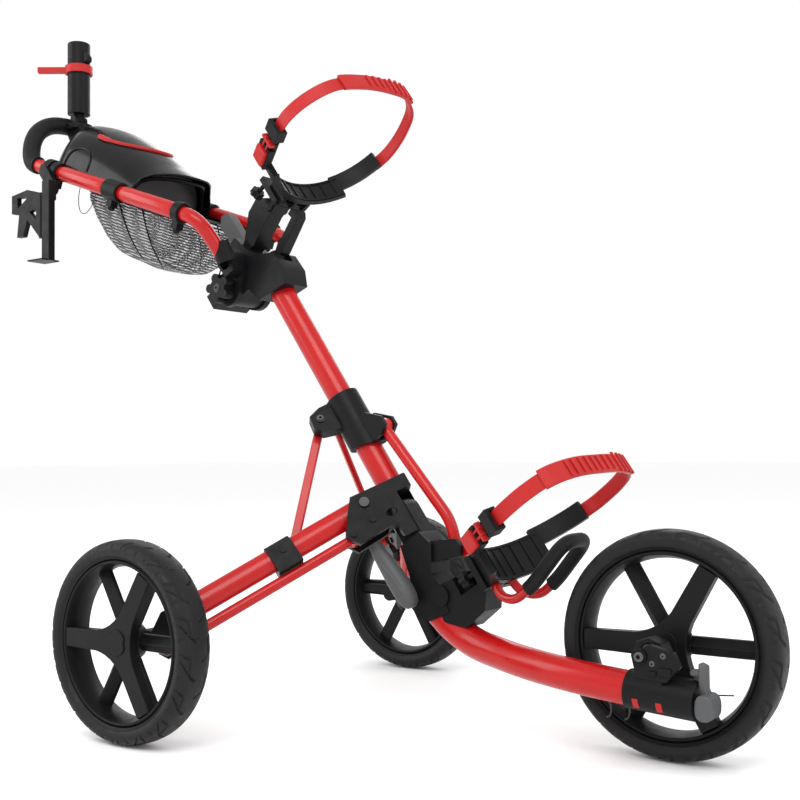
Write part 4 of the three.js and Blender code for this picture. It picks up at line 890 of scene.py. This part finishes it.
def on_dome(x, y, lift):
    """A point on the console's outside over x and y, lifted along z."""
    share = min(0.999, abs(y) / HALF_WIDTH) ** (1 / FLANK_POWER)
    swell = math.sin(math.acos(share)) ** ARCH_POWER
    return Vector((x, y, DOME_FOOT + (ridge_height(x) - DOME_FOOT) * swell + lift))


def mouth_rim(shrink, back):
    """The line where the mouth's edge meets the dome, drawn inwards by `shrink` and back by `back`."""
    near = []
    for (x0, z0), (x1, z1) in zip(MOUTH, MOUTH[1:]):
        for step in range(6):
            x, z = x0 + (x1 - x0) * step / 6, z0 + (z1 - z0) * step / 6
            top = ridge_height(x)
            if z < top - 0.3:
                rise = min(1.0, ((z - DOME_FOOT) / (top - DOME_FOOT)) ** (1 / ARCH_POWER))
                y = (HALF_WIDTH - shrink) * math.sqrt(1 - rise ** 2) ** FLANK_POWER
                near.append((x - back, y, z - shrink * rise))
    crest = near[-1]
    line = [*[(x, -y, z) for x, y, z in near], (crest[0] + 1.5, 0, crest[2] + 0.4), *reversed(near)]
    return smooth_line([line[0], *line[3:-3:3], line[-1]], 3)


RIM_ACROSS = (0, 0.2, 1)
piece(
    "console_mouth_rim", swept(mouth_rim(1.4, 0), ring(2.4, count=14), RIM_ACROSS), HANDLE, "handle",
    "gloss_black",
)
piece(
    "console_inner_rim", swept(mouth_rim(12, 10), ring(3.6, count=14), RIM_ACROSS), HANDLE, "handle",
    "black_plastic",
)


def bulkhead():
    """The wall that closes the console behind its mouth."""
    arch = [math.pi * i / 24 for i in range(25)]
    points = []
    for x in (-214, -211):
        rise = ridge_height(x) + 1
        points += [(x, 88 * math.cos(a), -8 + rise * math.sin(a) ** ARCH_POWER) for a in arch]
    faces = [(i, (i + 1) % 25, 25 + (i + 1) % 25, 25 + i) for i in range(25)]
    return points, [*faces, tuple(range(25)), tuple(range(25, 50))]


piece("console_bulkhead", bulkhead(), HANDLE, "handle", "grey_plastic", angle=40)


def trim_route():
    """The red trim's line along the lid's edge: a half round with a short tail at each end."""
    middle, half = LID_MIDDLE - 4, LID_HALF_WIDTH - 2.5
    front = []
    for i in range(33):
        angle = -math.pi / 2 + math.pi * i / 32
        front.append(on_dome(middle + LID_REACH * math.cos(angle), half * math.sin(angle), 1.2))
    tail = [on_dome(middle - 4 * k, -half, 1.2) for k in range(3, 0, -1)]
    return [*tail, *front, *[Vector((p.x, -p.y, p.z)) for p in reversed(tail)]]


TRIM_SECTION = [(-2.6, -1.6), (2.6, -1.6), (3, 0.6), (1.6, 2), (-1.6, 2), (-3, 0.6)]
trim_line = trim_route()
widths = [2.3 if i < 5 or i > len(trim_line) - 6 else 1.6 for i in range(len(trim_line))]
piece(
    "lid_trim", swept(trim_line, TRIM_SECTION, (0, 0, 1), widths), HANDLE, "lid", "red_rubber", bevel=0.0005,
)

# ---------- the console's arches and clamps, and the red sleeves on its tubes ----------
# Turns that lay a turned shape along z or x, and the side that each sign of y is on.
ALONG_Z, ALONG_X = Matrix.Rotation(math.pi / 2, 4, "X"), Matrix.Rotation(math.pi / 2, 4, "Z")
HAND = {-1: "right", 1: "left"}
RED_SLEEVE_RADIUS = 14.3
KNOB_SECTION = [(0.1, -6), (5, -5), (7, 0), (5, 5), (0.1, 6)]
# Each collar's place along its tube and half length, and where each red sleeve starts and ends.
COLLARS = [(-374, 8), (-208, 20), (-31, 9)]
RED_SLEEVES = [(-362, -232), (-184, -44)]


def console_clamps(sign):
    """Three collars round a handle tube, each with a foot and a small knob, and a ledge along the console."""
    rows = []
    for x, half in COLLARS:
        profile = [
            (12.9, -half), (17.2, -half), (18.5, -half + 1.5), (18.5, half - 1.5), (17.2, half), (12.9, half),
        ]
        y = sign * TUBE_Y
        rows.append(moved(moved(turned(profile, 48), ALONG_X), Matrix.Translation((x, y, 0))))
        rows.append(block((x - 7, y - 8, -30), (x + 7, y + 8, -13)))
        rows.append(moved(moved(turned(KNOB_SECTION, 20), ALONG_Z), Matrix.Translation((x, y, -31))))
    low, high = sorted((sign * 96.5, sign * 101.5))
    rows.append(block((-400, low, -14), (-22, high, -5)))
    return merged(*rows)


for sign, name in HAND.items():
    arch = []
    for i in range(17):
        angle = math.pi * i / 16
        arch.append(on_dome(-352 + 34 * math.cos(angle), sign * (98.5 - 12 * math.sin(angle)), 0.4))
    piece(f"{name}_console_arch", swept(arch, ring(2.2, count=12)), HANDLE, "handle", "gloss_black")
    piece(f"{name}_console_clamps", console_clamps(sign), HANDLE, "handle", "black_plastic", bevel=0.0009)
    for index, (start, end) in enumerate(RED_SLEEVES):
        line = [(x, sign * TUBE_Y, 0) for x in (start, start + 7, end - 7, end)]
        sleeve = swept(line, ring(RED_SLEEVE_RADIUS, count=36), (0, 1, 0), [0.88, 1, 1, 0.88])
        piece(f"{name}_red_sleeve_{index}", sleeve, HANDLE, "handle", "red_paint", angle=50)


# ---------- net ----------
NET_TOP, NET_ARC = -18, 40
# Stations from the rear to the front: the place along the rails, the net's depth there and its half width.
NET_STATIONS = [
    (-333, 6, 60), (-312, 27, 84), (-288, 50, 91), (-262, 74, 92.5), (-240, 88, 92.5), (-218, 95, 92.5),
    (-170, 97, 92.5), (-126, 98, 92), (-102, 90, 90), (-88, 74, 87), (-77, 50, 82), (-70, 24, 74),
    (-67, 6, 62),
]


def net_sheet(line):
    """A pouch of net that hangs from the console's rails, with shallow folds."""
    points, faces = [], []
    for i, (x, depth, half) in enumerate(line):
        for k in range(NET_ARC + 1):
            angle = math.pi * k / NET_ARC
            drop = math.sin(angle) ** 0.75
            fold = 2.2 * math.sin(i * 0.9) * math.sin(angle * 7) * drop
            points.append(Vector((x + fold, half * squared(math.cos(angle), 0.5), NET_TOP - depth * drop)))
    size = NET_ARC + 1
    for i in range(len(line) - 1):
        for k in range(NET_ARC):
            a = i * size + k
            faces.append((a, a + 1, a + size + 1, a + size))
    return points, faces


net_line = smooth_line(NET_STATIONS, 4)
net = piece("net_pouch", net_sheet(net_line), HANDLE, "handle", "net", angle=80, replaces=["net_basket"])
top_edge = [Vector((x, -half - 1, NET_TOP + 1)) for x, _, half in net_line]
wire = [*top_edge, *[Vector((p.x, -p.y, p.z)) for p in reversed(top_edge)], top_edge[0]]
piece("net_rim_wire", swept(wire, ring(1.6, count=10), (0, 0, 1)), HANDLE, "handle", "black_plastic")
for sign, name in HAND.items():
    for index, (x0, x1) in enumerate([(-216, -146), (-150, -92)]):
        steps = [i / 10 for i in range(11)]
        edge = [(x0 + (x1 - x0) * t, sign * (94 - 22 * t ** 3), NET_TOP - 84 * t) for t in steps]
        piece(
            f"{name}_net_edge_{index}", swept(edge, ring(1.3, count=8)), HANDLE, "handle", "black_plastic",
        )
# The wire hoop at the net's rear end, half an oval.
HOOP_MIDDLE, HOOP_HALF_WIDTH, HOOP_DEPTH = (-306, -95, -16), 24, 44
x, y, z = HOOP_MIDDLE
angles = [math.pi * i / 20 for i in range(21)]
hoop = [(x - HOOP_HALF_WIDTH * math.cos(a), y, z - HOOP_DEPTH * math.sin(a)) for a in angles]
piece("net_wire_hoop", swept(hoop, ring(0.7, count=8)), HANDLE, "handle", "steel")

# ---------- umbrella tube ----------
UMBRELLA_AT = (-547, 0, 1084)
umbrella = TROLLEY @ Matrix.Translation(UMBRELLA_AT)
post_parts = [
    moved(turned([(18.5, 149), (20.6, 150), (22, 148.6), (22, 7), (18.5, 7)], 56), ALONG_Z),
    moved(turned([(0.1, 7.2), (19, 7.2), (19, 14), (0.1, 14)], 40), ALONG_Z),
    bar((0, -7.5, -4), (0, 7.5, -4), 7.5),
    block((-7, -7.5, -4), (7, 7.5, 8)),
    prism([(20, 105.5), (31, 110), (31, 118), (20, 132)], -7, 7),
]
piece(
    "umbrella_post", merged(*post_parts), umbrella, "umbrella_holder", "black_plastic", angle=40,
    replaces=["umbrella_tube"], bevel=0.0006,
)
flange = turned([(14, -24), (24, -24), (27, -21), (27, -17), (24, -14.6), (14, -14.6)], 48)
piece("umbrella_flange", moved(flange, ALONG_Z), umbrella, "handle", "black_plastic", bevel=0.0006)

# ---------- floor, lights and camera ----------
FLOOR_HALF, FLOOR_Z = 30, -0.0005
floor_mesh = bpy.data.meshes.new("floor")
corners = [(x * FLOOR_HALF, y * FLOOR_HALF, FLOOR_Z) for x, y in ((-1, -1), (1, -1), (1, 1), (-1, 1))]
floor_mesh.from_pydata(corners, [], [(0, 1, 2, 3)])
floor = bpy.data.objects.new("floor", floor_mesh)
SCENE.collection.objects.link(floor)
floor_mesh.materials.append(
    surface("floor", (0.955, 0.955, 0.955), (0.975, 0.975, 0.975), (0.8, 0.9), 40, 0.0001, 0.05, 2)
)

world = bpy.data.worlds.new("studio")
world.use_nodes = True
world.node_tree.nodes["Background"].inputs["Color"].default_value = (1, 1, 1, 1)
world.node_tree.nodes["Background"].inputs["Strength"].default_value = 1.0
SCENE.world = world


def area_light(name, at, aim, size, power):
    """A rectangular light that faces `aim`."""
    light = bpy.data.lights.new(name, "AREA")
    light.shape = "RECTANGLE"
    light.size, light.size_y = size
    light.energy = power
    made = bpy.data.objects.new(name, light)
    made.location = at
    made.rotation_euler = (Vector(aim) - Vector(at)).to_track_quat("-Z", "Y").to_euler()
    SCENE.collection.objects.link(made)


area_light("key", (1.2, -2.6, 3.2), (0, 0, 0.5), (2.6, 1.6), 75)
area_light("fill", (3.4, 0.6, 1.8), (0, 0, 0.5), (1.6, 2.4), 30)
area_light("left", (-2.8, -2.2, 2.0), (-0.2, 0, 0.5), (1.4, 2.6), 45)
area_light("back", (-1.5, 3.0, 2.4), (0, 0, 0.6), (2.6, 1.4), 25)
SCENE.view_settings.view_transform = "Standard"

# The camera sees the trolley from the photograph's side. Its x is taken from the rear axle.
YAW, PITCH, ROLL = -0.627, -0.037, -0.009
CAMERA_AT = (1.2886 + AXLE_X, -1.4833, 0.4166)
SENSOR_MM, LENS_MM = 36, 51.89625
SHIFT_X, SHIFT_Y = 0.012125, 0.00975
ahead = Vector((math.sin(YAW) * math.cos(PITCH), math.cos(YAW) * math.cos(PITCH), -math.sin(PITCH)))
level = Vector((math.cos(YAW), -math.sin(YAW), 0))
upward = level.cross(ahead)
right = level * math.cos(ROLL) + upward * math.sin(ROLL)
up = upward * math.cos(ROLL) - level * math.sin(ROLL)
camera = bpy.data.objects.new("camera", bpy.data.cameras.new("camera"))
camera.matrix_world = Matrix(
    [[right[i], up[i], -ahead[i], CAMERA_AT[i]] for i in range(3)] + [[0, 0, 0, 1]]
)
camera.data.sensor_width = SENSOR_MM
camera.data.lens = LENS_MM
camera.data.shift_x, camera.data.shift_y = SHIFT_X, SHIFT_Y
camera.data.clip_start, camera.data.clip_end = 0.05, 100
SCENE.collection.objects.link(camera)
SCENE.camera = camera

bpy.context.view_layer.update()
